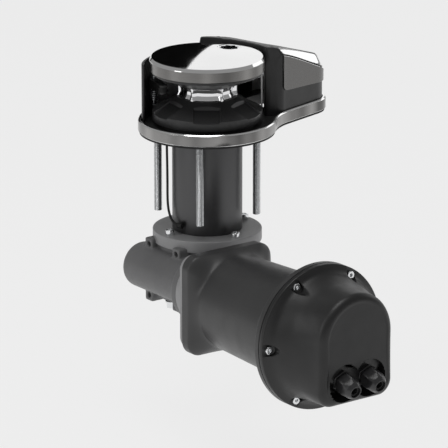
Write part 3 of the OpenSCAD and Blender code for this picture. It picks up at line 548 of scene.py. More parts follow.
class WindlassColours(bpy.types.PropertyGroup):
    chrome: FloatVectorProperty(name="Chrome", description="Colour of the clutch cap",
                                default=(0.86, 0.86, 0.86), subtype="COLOR")
    rim: FloatVectorProperty(name="Cap rim", description="Colour of the brushed rim of the cap",
                             default=(0.2, 0.195, 0.19), subtype="COLOR")
    ring: FloatVectorProperty(name="Base ring", description="Colour of the base ring",
                              default=(0.24, 0.236, 0.232), subtype="COLOR")
    cover_sheet: FloatVectorProperty(name="Cover sheet",
                                     description="Colour of the side cover of the hood",
                                     default=(0.16, 0.157, 0.154), subtype="COLOR")
    hood: FloatVectorProperty(name="Hood", description="Colour of the hood paint",
                              default=(0.010, 0.010, 0.0103), subtype="COLOR")
    gypsy: FloatVectorProperty(name="Gypsy", description="Colour of the gypsy halves",
                               default=(0.02, 0.02, 0.0205), subtype="COLOR")
    casting: FloatVectorProperty(name="Casting", description="Colour of the black castings",
                                 default=(0.02, 0.02, 0.02), subtype="COLOR")
    case: FloatVectorProperty(name="Gearbox case", description="Colour of the gearbox paint",
                              default=(0.13, 0.13, 0.132), subtype="COLOR")
    flange: FloatVectorProperty(name="Gearbox flange", description="Colour of the flange paint",
                                default=(0.26, 0.26, 0.264), subtype="COLOR")
    tube: FloatVectorProperty(name="Spacer tube", description="Colour of the spacer tube",
                              default=(0.1, 0.1, 0.102), subtype="COLOR")
    cover: FloatVectorProperty(name="Motor cover", description="Colour of the motor cover and its cap",
                               default=(0.036, 0.036, 0.0365), subtype="COLOR")
    # The end cap is the same plastic as the motor cover, set darker: painted shade.
    end: FloatVectorProperty(name="End cap", description="Colour of the end cap, the cover plastic darkened as painted shade",
                             default=(0.007, 0.007, 0.0072), subtype="COLOR")
    gland: FloatVectorProperty(name="Glands", description="Colour of the cable glands",
                               default=(0.02, 0.02, 0.021), subtype="COLOR")


class WindlassOperator:
    bl_options = {"REGISTER", "UNDO"}

    def execute(self, context):
        self.build(context.scene.windlass_sizes, context.scene.windlass_colours)
        return {"FINISHED"}


# ---- operators, one for each piece or group of like pieces ----

class WINDLASS_OT_finishes(WindlassOperator, bpy.types.Operator):
    """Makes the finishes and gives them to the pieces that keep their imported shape"""
    bl_idname = "windlass.finishes"
    bl_label = "Finishes"

    def build(self, sizes, colours):
        FINISH.update(made_finishes(colours))
        for name, finish in NODE_FINISH.items():
            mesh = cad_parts[name].data
            mesh.materials.clear()
            mesh.materials.append(FINISH[finish])


class WINDLASS_OT_clutch_cap(WindlassOperator, bpy.types.Operator):
    """Makes the chromed clutch cap"""
    bl_idname = "windlass.clutch_cap"
    bl_label = "Clutch cap"

    def build(self, sizes, colours):
        steps = 256
        a = np.arange(steps) / steps * 2 * math.pi
        # The top runs from the socket's hole out to the crease, along rays from the hole's middle.
        centre = SOCKET_AT * np.array([math.cos(SOCKET_TURN), math.sin(SOCKET_TURN)])
        d = np.stack([np.cos(a), np.sin(a)], -1)
        hole = centre + SOCKET_R * d
        along = -(d @ centre) + np.sqrt((d @ centre) ** 2 - centre @ centre + CAP_EDGE_R ** 2)
        edge = centre + along[:, None] * d
        t = np.linspace(0, 1, 14)[:, None, None]
        flat = hole * (1 - t) + edge * t
        r = np.linalg.norm(flat, axis=-1)
        z = 95.3 - 2.4 * (r / CAP_EDGE_R) ** 2
        top = np.concatenate([flat, z[..., None]], -1)
        ring = rounded([(CAP_EDGE_R, 92.9), (68.8, 89.6), (69, 88.9), (69, 77.0), (68.4, 76.35),
                        (39.8, 76.35), (27.4, 64.1),
                        (26.9, 63.65), (12.6, 63.65)], [0, 0.35, 0.4, 0.4, 0.2, 1, 0.5, 0.3, 0], 3)
        angle = np.arctan2(edge[:, 1], edge[:, 0])
        body = np.stack([ring[:, :1] * np.cos(angle), ring[:, :1] * np.sin(angle),
                         np.repeat(ring[:, 1:], steps, 1)], -1)
        bore = np.stack([np.full((1, steps), 12.6) * np.cos(angle),
                         np.full((1, steps), 12.6) * np.sin(angle),
                         np.full((1, steps), 84.3)], -1)
        roof = np.zeros((1, steps, 3))
        roof[..., 2] = 84.3
        low = np.concatenate([hole, np.full((steps, 1), 78.3)], -1)[None]
        foot = np.repeat(low.mean(1, keepdims=True), steps, 1)
        grids = [(np.concatenate([foot, low, top, body, bore, roof]), False, True)]

        def zones(centre, normal):
            x, y, z = centre.T
            return (np.hypot(x, y) > 68.5) & (z < 89.2) & (z > 76.6)

        piece("clutch_cap_chrome", grids, "clutch", ["clutch_cap"],
              [FINISH["cap_mirror"], FINISH["cap_rim"]], 16, zones=zones)


class WINDLASS_OT_gypsy(WindlassOperator, bpy.types.Operator):
    """Makes the two halves of the gypsy and the steel core between them"""
    bl_idname = "windlass.gypsy"
    bl_label = "Gypsy"

    def half(self, sizes, band, cone_z, cone_in, slope, lift, steps=600):
        """One half lying on z = 0. Each row runs round at one radius; outside the band the height is the
        smaller of the cone and, inside a pocket, the tilted floor of that pocket."""
        a = np.arange(steps) / steps * 2 * math.pi
        r = np.concatenate([np.linspace(66 - 1.4, 36, 60), [33.5, 20]])[:, None] + 0 * a
        cone = np.interp(r, [20, 36, 64.6], [cone_z, cone_z, band])
        sector = 2 * math.pi / sizes.pockets
        b = (a - math.radians(233) + sector / 2) % sector - sector / 2
        x, y = r * np.cos(b), r * np.sin(b)
        depth = lift + (x - 54) * -math.tan(slope)
        wall = np.abs(y) - sizes.pocket_width * 500
        inner = 43 - x
        side = np.maximum(wall, inner * 0.9)
        height = depth + np.maximum(side, 0) * 5.5
        z = soft_min(cone, height, sizes.pocket_round * 1500)
        z = np.where(r < 34, cone, z)
        outer_z = z[:1]
        edge = np.array([[40.5, 0.0], [65.4, 0.0], [66.0, 0.6]])
        low = np.stack([edge[:, :1] * np.cos(a), edge[:, :1] * np.sin(a),
                        np.repeat(edge[:, 1:], steps, 1)], -1)
        rim_z = np.minimum(outer_z - 1.0, band - 1.2)
        rim = np.stack([66 * np.cos(a)[None], 66 * np.sin(a)[None], rim_z], -1)
        soft = np.stack([65.6 * np.cos(a)[None], 65.6 * np.sin(a)[None], rim_z + 0.75], -1)
        top = np.stack([r * np.cos(a), r * np.sin(a), z], -1)
        inside = np.array([[20.0, cone_in], [27.2, cone_in], [40.5, 0.0]])
        back = np.stack([inside[:, :1] * np.cos(a), inside[:, :1] * np.sin(a),
                         np.repeat(inside[:, 1:], steps, 1)], -1)
        return np.concatenate([low, rim, soft, top, back])

    def build(self, sizes, colours):
        lower = self.half(sizes, 12.8, 28.8, 25.2, math.radians(26.7), 15.4)
        lower[..., 2] += 16.2
        piece("gypsy_lower_half", [(lower, True, True)], "gypsy", ["gypsy_lower"],
              [FINISH["gypsy"]], 26)
        upper = self.half(sizes, 3.3, 15.8, 12.8, math.radians(23), 8.4)
        upper[..., 2] = 75.8 - upper[..., 2]
        piece("gypsy_upper_half", [(upper, True, True)], "gypsy", ["gypsy_upper"],
              [FINISH["gypsy"]], 26)
        steps = 360
        a = np.arange(steps) / steps * 2 * math.pi
        sector = math.pi / 3
        b = (a - math.radians(263) + sector / 2) % sector - sector / 2
        rows = rounded([(12.6, 45.05), (33, 45.05), (30.5, 50.5), (30.5, 54.5), (33, 59.95),
                        (12.6, 59.95)], [0, 0.8, 3, 3, 0.8, 0], 5)
        lug = 5.0 * np.exp(-(b / 0.085) ** 2)
        r = rows[:, :1] + np.where(rows[:, :1] > 20, lug, 0) * np.clip((rows[:, :1] - 12.6) / 18, 0, 1)
        core = polar(np.minimum(r, 36.1), rows[:, 1:], steps)
        piece("gypsy_core_steel", [(core, True, True)], "gypsy", ["gypsy_core"],
              [FINISH["bright_piece"]], 30)


class WINDLASS_OT_base_ring(WindlassOperator, bpy.types.Operator):
    """Makes the polished ring round the base"""
    bl_idname = "windlass.base_ring"
    bl_label = "Base ring"

    def build(self, sizes, colours):
        p, d = base_outline()
        e = sizes.ring_edge * 1000
        section = rounded([(3.5, 2.0), (e, 2.0), (0, 2.0 + e), (0, 17 - e), (e, 17), (3.5, 17)],
                          [0, 0.25, 0.25, 0.25, 0.25, 0], 2)
        points = p[None] - section[:, None, :1] * d[None]
        points = np.concatenate([points, np.repeat(section[:, 1:, None], len(p), 1)], -1)

        def zones(centre, normal):
            return np.abs(normal[:, 2]) > 0.35

        piece("base_ring_polished", [(tail(points), True, True)], "housing", ["base_ring"],
              [FINISH["ring"], FINISH["cover_strip"]], 25, zones=zones)


class WINDLASS_OT_hood(WindlassOperator, bpy.types.Operator):
    """Makes the hood round the gypsy and over the tail"""
    bl_idname = "windlass.hood"
    bl_label = "Hood"

    def build(self, sizes, colours):
        """Each column is a closed section between the outer wall and the well. It goes up the outer wall,
        over the sloping crown and along the roof, down the well and back along the underside."""
        p, d = open_outline(96.2, 180 + BLEND_TURN, 133.6)
        n = len(p)
        index = np.arange(n)
        outer_turn = np.degrees(np.arctan2(p[:, 1], p[:, 0]))
        far = STRAIGHT_END
        outer_turn = np.where(index > n / 2, outer_turn % 360, outer_turn)
        well_turn = np.interp(index, [0, NEAR_STEPS, far, far + FAR_STEPS],
                              [-29.7, -27.2, 27.2, BLEND_TURN])
        well_turn = np.where(index >= far + FAR_STEPS, outer_turn, well_turn)
        w = np.radians(well_turn)
        q = 75.05 * np.stack([np.cos(w), np.sin(w)], -1)
        wall = p - HOOD_INSET * d
        gap = np.linalg.norm(wall - q, axis=1)
        # Both ends are drawn in a little so that their upright edges are round.
        lead = np.minimum(index, n - 1 - index)
        shrink = np.array([1.6, 0.7, 0.2, 0.0])[np.minimum(lead, 3)]
        ends = np.where(index < n / 2, 1.0, 0.45)
        wall_in = HOOD_INSET + shrink * ends
        q = q + (wall - q) / gap[:, None] * (shrink * ends * 0.8)[:, None]
        width = np.minimum(sizes.crown_width * 1000, gap * 0.42)
        # The way across the top: square to the wall, except beside the near end, where it runs straight to
        # the well.
        turn = smooth(index / NEAR_STEPS)[:, None]
        inward = (q - wall) / gap[:, None] * (1 - turn) - d * turn
        edge = p - wall_in[:, None] * d
        plan = lambda inset: edge + (inset - wall_in)[:, None] * inward

        def row(xy, z):
            return np.concatenate([xy, z[:, None]], -1)

        def height(xy, depth):
            u = xy[:, 0]
            roof = roof_z(u)
            drop = crown_drop(u) * np.clip(width / 8.5, 0, 1)
            slope = drop / np.maximum(width, 0.1)
            crown = soft_min(roof, roof - drop + slope * depth, 2.2 * np.clip(width / 8.5, 0.15, 1))
            round_edge = LOW_WALL - 0.8 * (1 - smooth(depth / 1.2))
            lowered = smooth((outer_turn - LOW_WALL_TURN) / 0.6)
            lowered = np.where((outer_turn > 0) & (index > far), lowered, 0)
            return crown * (1 - lowered) + np.minimum(round_edge, crown) * lowered

        rows = [row(plan(wall_in), np.full(n, HOOD_FLOOR))]
        side_top = height(plan(wall_in), np.zeros(n))
        for s in (0.02, 0.25, 0.5, 0.75, 0.93, 0.985):
            rows.append(row(plan(wall_in), HOOD_FLOOR + (side_top - HOOD_FLOOR) * s))
        for s in (0.06, 0.2, 0.4, 0.6, 0.8, 0.9, 1.0, 1.1, 1.2, 1.35):
            depth = width * s
            xy = plan(wall_in + depth)
            rows.append(row(xy, height(xy, depth)))
        last = plan(wall_in + width * 1.35)
        for s in np.linspace(0.06, 0.94, 12):
            xy = last * (1 - s) + q * s
            rows.append(row(xy, height(xy, width * 1.35 + 30)))
        top_q = height(q, np.full(n, 40.0))
        rows.append(row(last * 0.02 + q * 0.98, top_q - 0.1))
        rows.append(row(q, top_q - 0.9))
        hollow = smooth((index - 8.5) / 1.2) * smooth((far - 0.5 - index) / 1.2)
        under = HOOD_FLOOR + hollow * (70 - HOOD_FLOOR)
        for s in (0.2, 0.5, 0.8, 1.0):
            rows.append(row(q, (top_q - 0.9) * (1 - s) + under * s))
        inner = plan(wall_in + np.minimum(4.0, gap * 0.5))
        reach = np.minimum(70, height(inner, np.full(n, 40.0)) - 8)
        for s in (0.25, 0.5, 0.75, 1.0):
            xy = q * (1 - s) + inner * s
            ceiling = np.minimum(70, roof_z(xy[:, 0]) - 6 - 4 * s)
            rows.append(row(xy, HOOD_FLOOR + hollow * (ceiling - HOOD_FLOOR)))
        for s in (0.3, 0.6, 1.0):
            rows.append(row(inner, HOOD_FLOOR + hollow * (reach - HOOD_FLOOR) * (1 - s) * 0.98))
        shell = np.stack(rows)
        grids = [(shell, True, False), (fan(shell[:, 0]), False, True), (fan(shell[:, -1]), False, True)]

        # Faces inside the hollow take the light grey inner finish, partly the moulding's own grey and partly
        # painted light.
        def zones(centre, normal):
            c, s = math.cos(TAIL_TURN), math.sin(TAIL_TURN)
            x, y, z = centre.T
            u, v = x * c + y * s, y * c - x * s
            inside = (u > 60) & (u < 175) & (np.abs(v) < 49.3) & (np.hypot(u, v) > 75.6)
            inside &= (z < roof_z(u) - 3) & (z > HOOD_FLOOR + 0.5)
            return inside & ((u > 90) | (np.abs(v) < 33))

        piece("hood_painted", [(tail(g), a, b) for g, a, b in grids], "housing", ["hood_shell"],
              [FINISH["hood"], FINISH["inner"]], 38, zones=zones)


class WINDLASS_OT_hood_cover(WindlassOperator, bpy.types.Operator):
    """Makes the polished cover round the tail and its bright strip along the crown"""
    bl_idname = "windlass.hood_cover"
    bl_label = "Hood cover"

    def build(self, sizes, colours):
        p, d = open_outline(95.2, 264.8, None)
        u = p[:, 0]
        base = roof_z(u) - crown_drop(u)
        top = base - 0.9
        corner = 8 - np.sqrt(np.maximum(64 - np.maximum(87 - u, 0) ** 2, 0))
        low = 42.0 - 5.0 * np.clip((u - 79) / 100, 0, 1) + corner
        section = [(4.46, 0, 0.0), (3.1, 0, 0.0), (2.9, 0, 0.3), (2.9, 0.25, 0), (2.9, 0.5, 0),
                   (2.9, 0.75, 0),
                   (2.9, 1, -0.3), (3.1, 1, 0.0), (4.46, 1, 0.0)]
        rows = []
        for inset, s, off in section:
            xy = p - inset * d
            rows.append(np.concatenate([xy, (low * (1 - s) + top * s + off)[:, None]], -1))
        side = np.stack(rows)
        width = sizes.crown_width * 1000
        drop = crown_drop(u)
        tilt = np.arctan2(drop, width)
        rows = []
        for s, lift in ((0.04, 0.05), (0.04, 0.75), (0.07, 1.0), (0.3, 1.0), (0.6, 1.0), (0.86, 1.0),
                        (0.9, 0.75), (0.9, 0.05)):
            inset = HOOD_INSET + width * s - lift * np.sin(tilt)
            xy = p - inset[:, None] * d
            z = roof_z(xy[:, 0]) - drop + drop * s + lift * np.cos(tilt)
            rows.append(np.concatenate([xy, z[:, None]], -1))
        strip = np.stack(rows)
        grids = []
        for band in (side, strip):
            grids += [(band, True, False), (fan(band[:, 0]), False, True), (fan(band[:, -1]), False, True)]

        def zones(centre, normal):
            return np.where(normal[:, 2] > 0.3, 1, 0)

        piece("hood_cover_polished", [(tail(g), a, b) for g, a, b in grids], "housing", ["hood_trim"],
              [FINISH["cover_sheet"], FINISH["cover_strip"]], 30, zones=zones)


class WINDLASS_OT_screws(WindlassOperator, bpy.types.Operator):
    """Makes every socket head screw"""
    bl_idname = "windlass.screws"
    bl_label = "Socket head screws"

    def build(self, sizes, colours):
        def group(name, heads, node, body="housing"):
            piece(name, [(h, False, True) for h in heads], body, [node], [FINISH["bright"]],
                  28)

        small = screw_head(2.6, 22, 3.0, 4, 2.2)
        piece("hood_screw_pair", [(tail(small + [73, v, roof_z(73) - 3.9]), False, True) for v in (-41,
            41)], "housing",
              ["hood_screws"], [FINISH["gland"]], 28)
        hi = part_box("stripper_screws")[1]
        head = screw_head(3, 30, 4.8, 4.6, 2.4)
        top = hi.z / MM
        group("stripper_screw_pair", [tail(head + [100, v, top - 4.6]) for v in (-38, 38)],
              "stripper_screws")
        group("tube_screw_set", [screw_head(2.5, 22, 4.3, 4, 2.2) + s + [0, 0, 9] for s in spots(4, 39.6)],
              "tube_screws")
        group("flange_screw_set", [screw_head(3, 28, 5.2, 6.2, 2.7) + s + [0, 0, -119.5] for s in spots(4,
            56)], "flange_screws")
        bolts = []
        for x in (-45, 45):
            for y in (-45, 45):
                b = screw_head(3, 18, 5.2, 6, 2.7) * [1, -1, -1]
                bolts.append(worm(b + [x, y, 0], -103.02))
        group("adapter_bolt_set", bolts, "adapter_bolts")
        caps = []
        for a in SCREW_TURNS:
            caps.append(worm(screw_head(2.45, 12, 4.8, 4.6, 2.1) + [78 * math.cos(a), 78 * math.sin(a), 0],
                             -JOINT_Y - 7.2))
        group("cap_screw_set", caps, "end_cap_screws")


class WINDLASS_OT_deck_studs(WindlassOperator, bpy.types.Operator):
    """Makes the four threaded deck studs"""
    bl_idname = "windlass.deck_studs"
    bl_label = "Deck studs"

    def build(self, sizes, colours):
        """The radius falls with the distance of z/pitch - a/turn from a whole number, which winds the
        thread up the stud."""
        steps = 30
        a = np.arange(steps) / steps * 2 * math.pi
        pitch, depth = sizes.stud_pitch * 1000, sizes.stud_depth * 1000
        z = np.arange(-100.4, 7.2, pitch / 5)[:, None]
        phase = (z / pitch - a / (2 * math.pi)) % 1.0
        r = 5.0 - depth * np.clip(2.2 * np.abs(phase - 0.5), 0.08, 1) * smooth((1.5 - z) / 1.0)
        body = polar(r, z + 0 * a, steps)
        low = polar(np.array([[0.0], [3.7], [4.4]]) + 0 * a, np.array([[-101], [-101], [-100.6]]) + 0 * a,
                    steps)
        high = polar(np.array([[4.8], [4.3], [0.0]]) + 0 * a, np.array([[7.3], [7.5], [7.5]]) + 0 * a,
                     steps)
        stud = np.concatenate([low, body, high])
        piece("deck_stud_set", [(stud + s, False, True) for s in spots(4, 60, 45)], "housing",
              ["deck_studs"],
              [FINISH["bright"]], 60)


class WINDLASS_OT_spacer_tube(WindlassOperator, bpy.types.Operator):
    """Makes the tube between the deck and the gearbox"""
    bl_idname = "windlass.spacer_tube"
    bl_label = "Spacer tube"

    def build(self, sizes, colours):
        section = rounded([(37, -119.5), (42.3, -119.5), (42.3, 2), (37, 2)], 0.5, 3, True)
        piece("spacer_tube_anodised", [(turned(section, 192), True, True)], "housing", ["spacer_tube"],
              [FINISH["tube"]])


class WINDLASS_OT_sensor_cable(WindlassOperator, bpy.types.Operator):
    """Makes the thin cable of the chain sensor"""
    bl_idname = "windlass.sensor_cable"
    bl_label = "Sensor cable"

    def build(self, sizes, colours):
        path = smooth_path(CABLE_POINTS)
        ring = tube(path, 1.5)
        piece("sensor_cable_black", [(ring, False, True), (fan(ring[0]), False, True),
                                     (fan(ring[-1]), False, True)],
              "housing", ["sensor_cable"], [FINISH["rubber"]], 50)


class WINDLASS_OT_gearbox(WindlassOperator, bpy.types.Operator):
    """Makes the gearbox flange, its case and the motor adapter"""
    bl_idname = "windlass.gearbox"
    bl_label = "Gearbox"

    def lug(self, y, z):
        """A square lug with round corners and a hole, as rings from the hole outwards and along X."""
        steps = 64
        a = np.arange(steps) / steps * 2 * math.pi
        outer = square_radius(a, 7.5, 2.0)
        rows = [(0 * a + 3.4, 14), (0 * a + 3.4, 0.4), (0 * a + 3.9, 0.0), (outer - 1.0, 0.0),
                (outer - 0.3, 0.3),
                (outer, 1.0), (outer, 26), (0 * a + 0.01, 26)]
        grid = np.stack([np.stack([0 * a + x, r * np.cos(a), r * np.sin(a)], -1) for r, x in rows])
        plug = np.repeat(grid[:1].mean(1, keepdims=True), steps, 1)
        return np.concatenate([plug, grid]) + [-68, y, WORM_Z + z]

    def build(self, sizes, colours):
        flange = rounded([(16.5, -134), (66, -134), (66, -119.5), (36.8, -119.5), (36.8, -111.5),
                          (22, -111.5), (22, -118.5), (16.5, -118.5)],
                         [0, 1.4, 1.4, 0, 0.6, 0, 0, 0], 5, True)
        piece("gearbox_flange_cast", [(turned(flange, 192), True, True)], "housing", ["gearbox_flange"],
              [FINISH["flange"]])
        drum = rounded([(0, -203), (62, -203), (62, -134.02), (0, -134.02)], [0, 4, 0, 0], 8)
        tube_end = rounded([(0, 0), (28, 0), (28, 127), (0, 127)], [0, 7, 0, 0], 10)
        boss = rounded([(0, 0), (40, 0), (40, 12), (0, 12)], [0, 2.5, 0, 0], 6)
        grids = [(turned(drum, 144), False, True), (worm(turned(tube_end, 96), 57), False, True),
                 (worm(turned(boss, 120), -60), False, True)]
        grids += [(self.lug(y, z), False, True) for y in (-27.5, 27.5) for z in (-32, 32)]
        case = piece("gearbox_case_cast", grids, "housing", ["gearbox_case"], [FINISH["case"]])
        fuse = case.modifiers.new("Fuse", "REMESH")
        fuse.mode = "VOXEL"
        fuse.voxel_size = 0.0011
        fuse.use_smooth_shade = True
        ease = case.modifiers.new("Ease", "SMOOTH")
        ease.factor = 0.6
        ease.iterations = 4
        steps = 192
        a = np.arange(steps) / steps * 2 * math.pi
        square = square_radius(a, 57, 16)
        round_rows = rounded([(15.2, 0.0), (41, 0.0), (45.4, 24), (53, 30.4)], [0, 1.5, 7, 0], 5)
        rows = [r * np.ones(steps) for r in round_rows[:, 0]]
        z = list(round_rows[:, 1])
        for r, h in ((square - 0.9, 30.9), (square - 0.2, 31.2), (square, 32.0), (square, 39.1),
                     (square - 0.7, 39.88),
                     (0 * a + 38, 39.88), (0 * a + 15.2, 16)):
            rows.append(r)
            z.append(h)
        adapter = polar(np.array(rows), np.array(z)[:, None], steps)
        piece("motor_adapter_cast", [(worm(adapter, -72.02), True, True)], "housing", ["motor_adapter"],
              [FINISH["flange"]], 30)


class WINDLASS_OT_motor_cover(WindlassOperator, bpy.types.Operator):
    """Makes the moulded cover round the motor"""
    bl_idname = "windlass.motor_cover"
    bl_label = "Motor cover"

    def build(self, sizes, colours):
        """Each row is a rounded square that turns into a circle further along: radius = square + (circle -
        square) * ease, with the circle's radius from the barrel's profile."""
        steps = 320
        a = np.arange(steps) / steps * 2 * math.pi
        square = square_radius(a, 61, 18)
        line = rounded([(0, 58), (30, 58), (146, 62.5), (157, 66), (167, 76), (172, 83.4), (174, 86),
                        (180, 86)],
                       [0, 10, 12, 8, 8, 3, 0.6, 0], 6)
        t = np.concatenate([[0.0, 0.25, 0.8, 3, 9, 11.2, 12.0], np.linspace(12.6, 34, 22),
                            np.linspace(36, 140, 16), line[line[:, 0] > 141, 0],
                            [179.5, 179.9]])
        t = np.unique(t)[:, None]
        circle = np.interp(t, line[:, 0], line[:, 1])
        ease = smooth((t - 11.5) / 19) ** 0.8
        r = square * (1 - ease) + (circle - 0.7 * (1 - ease)) * ease
        r = r - np.clip(0.8 - t, 0, 0.8) * 0.9 - np.clip(t - 179.4, 0, 1) * 0.9
        outer = polar(r, t + 0 * a, steps)
        inner = rounded([(72, 179.95), (72, 172), (53.5, 148), (53.5, 0.0)], [0, 2, 6, 0], 4)
        inside = turned(inner, steps)
        piece("motor_cover_moulded", [(worm(np.concatenate([outer, inside]), -112), True, True)],
              "housing", ["motor_cover"],
              [FINISH["cover"]], 30)


class WINDLASS_OT_end_cap(WindlassOperator, bpy.types.Operator):
    """Makes the moulded end cap with its screw scoops and the recesses of the cable glands"""
    bl_idname = "windlass.end_cap"
    bl_label = "End cap"

    def build(self, sizes, colours):
        steps = 720
        a = np.arange(steps) / steps * 2 * math.pi
        face = face_outline(a)
        depth = FACE_Y - JOINT_Y - 1.2
        t = np.concatenate([[0.0, 0.3, 0.9, 3, 5.6, 6.2, 6.5], np.linspace(6.9, 16, 14),
                            np.linspace(17, depth - 9, 34),
                            depth - 8 * (1 - np.sin(np.linspace(0.1, math.pi / 2, 12)))])[:, None]
        ring_r = 86 - np.clip(0.5 - t, 0, 1) - np.clip(t - 6.0, 0, 0.5)
        wide = 76.5 - 3.5 * smooth((t - 7) / 30)
        share = smooth((t - 4) / (depth - 6)) ** 1.15
        body = wide * (1 - share) + (face + 3.0) * share
        body = body - 0.06 * (t - 7)
        edge = np.clip((t - (depth - 8)) / 8, 0, 1)
        body = body - 8.5 * (1 - np.sqrt(np.maximum(1 - edge ** 2, 0)))
        flare = 9.0 * np.exp(-np.maximum(t - 6.5, 0) / 2.6)
        body = np.minimum(body + flare, 85.2)
        r = np.where(t <= 6.5, ring_r, body)
        for turn in SCREW_TURNS:
            off = (a - turn + math.pi) % (2 * math.pi) - math.pi
            across = np.abs(78 * np.sin(off)) + np.where(np.cos(off) > 0, 0, 99)
            half = np.interp(t, [6.5, 12, 44], [6.6, 6.6, 1.2])
            floor_r = 78 - np.sqrt(np.maximum(half ** 2 - across ** 2, 0)) - np.interp(t, [6.5, 44],
                [0, 3.5])
            cut = (across < half) & (t > 6.5) & (t < 44)
            r = np.where(cut, soft_min(r, floor_r, 1.2), r)
        outer = polar(r, t + 0 * a, steps)
        scale = np.linspace(1, 0, 40)[1:, None]
        last = r[-1]
        dome = depth + 0.6 * (1 - scale ** 2)
        face_grid = polar(last * scale, dome - 0.6 + 0 * a, steps)
        shell = np.concatenate([outer, face_grid])
        shell = worm(shell, -JOINT_Y - 1.2)
        for side in (-1, 1):
            shell = self.recess(shell, side)
        inner = rounded([(0, depth - 6), (45, depth - 6), (66, 30), (66, 0.0)], [0, 8, 10, 0], 5)
        inside = worm(turned(inner, steps), -JOINT_Y - 1.2)
        inside = inside[::-1]
        # The end finish is the cover plastic darkened as painted shade.
        piece("end_cap_moulded", [(np.concatenate([inside, shell]), False, True)], "housing", ["end_cap"],
              [FINISH["end"]], 34)

    def recess(self, shell, side):
        """Pushes points that lie over a gland's seat down its axis to the seat. How far is eased over the
        last millimetre of the seat's edge."""
        t = math.radians(105)
        axis = np.array([0, -math.sin(t), math.cos(t)])
        foot = np.array([WORM_X + side * 18, -352.0, WORM_Z - 31])
        rel = shell - foot
        h = rel @ axis
        across = np.linalg.norm(rel - h[..., None] * axis, axis=-1)
        share = smooth((21.6 - across) / 1.3)
        push = np.maximum(h, 0) * share
        return shell - push[..., None] * axis


def face_outline(a):
    """Distance from the middle to the edge of the end cap's face at angle a. The face is the hull of a
    large circle above and two small ones below: the distance is the least over all directions n of
    support(n) / (d . n)."""
    turn = np.linspace(0, 2 * math.pi, 1440, endpoint=False)
    n = np.stack([np.cos(turn), np.sin(turn)], -1)
    circles = [((0, 16), 52), ((34, -43), 18), ((-34, -43), 18)]
    support = np.max([n @ np.array(c) + r for c, r in circles], axis=0)
    d = np.stack([np.cos(a), np.sin(a)], -1)
    along = d @ n.T
    reach = np.where(along > 1e-3, support[None] / np.maximum(along, 1e-3), 1e6)
    return reach.min(1)


class WINDLASS_OT_glands(WindlassOperator, bpy.types.Operator):
    """Makes the two cable glands with their hexagons and domed nuts"""
    bl_idname = "windlass.glands"
    bl_label = "Cable glands"

    def build(self, sizes, colours):
        steps = 144
        a = np.arange(steps) / steps * 2 * math.pi
        body_rows, body_z = [], []
        for kind, r, z in (("r", 7, -10), ("r", 10, -10), ("r", 10, 0), ("h", 11.4, 0.0), ("h", 11.8, 0.5),
                           ("h", 11.8, 8.4), ("h", 11.3, 9.0),
                           ("r", 10, 9), ("r", 10, 13.9), ("r", 7, 13.9)):
            body_rows.append(np.minimum(hex_radius(a, r), r * 1.13) if kind == "h" else r + 0 * a)
            body_z.append(z)
        body = polar(np.array(body_rows), np.array(body_z, float)[:, None], steps)
        dome = rounded([(11.6, 23.5), (10.6, 29.5), (7.9, 34), (6.7, 34), (6.7, 12.4), (10.1, 12.3)],
                       [0, 4, 1.2, 0.4, 0, 0], 5)
        rows = [hex_radius(a, 10.9), hex_radius(a, 11.5), hex_radius(a, 11.5),
                np.minimum(hex_radius(a, 11.5), 12.6)]
        z = [12.0, 12.4, 22.5, 23.6]
        for r, h in dome[1:]:
            rows.append(r + 0 * a)
            z.append(h)
        nut = polar(np.array(rows), np.array(z)[:, None], steps)
        piece("gland_body_pair", [(gland(body, s), True, True) for s in (-1, 1)], "housing",
              ["gland_bodies"],
              [FINISH["gland"]], 28)
        piece("gland_nut_pair", [(gland(nut, s), True, True) for s in (-1, 1)], "housing", ["gland_nuts"],
              [FINISH["gland"]], 28)


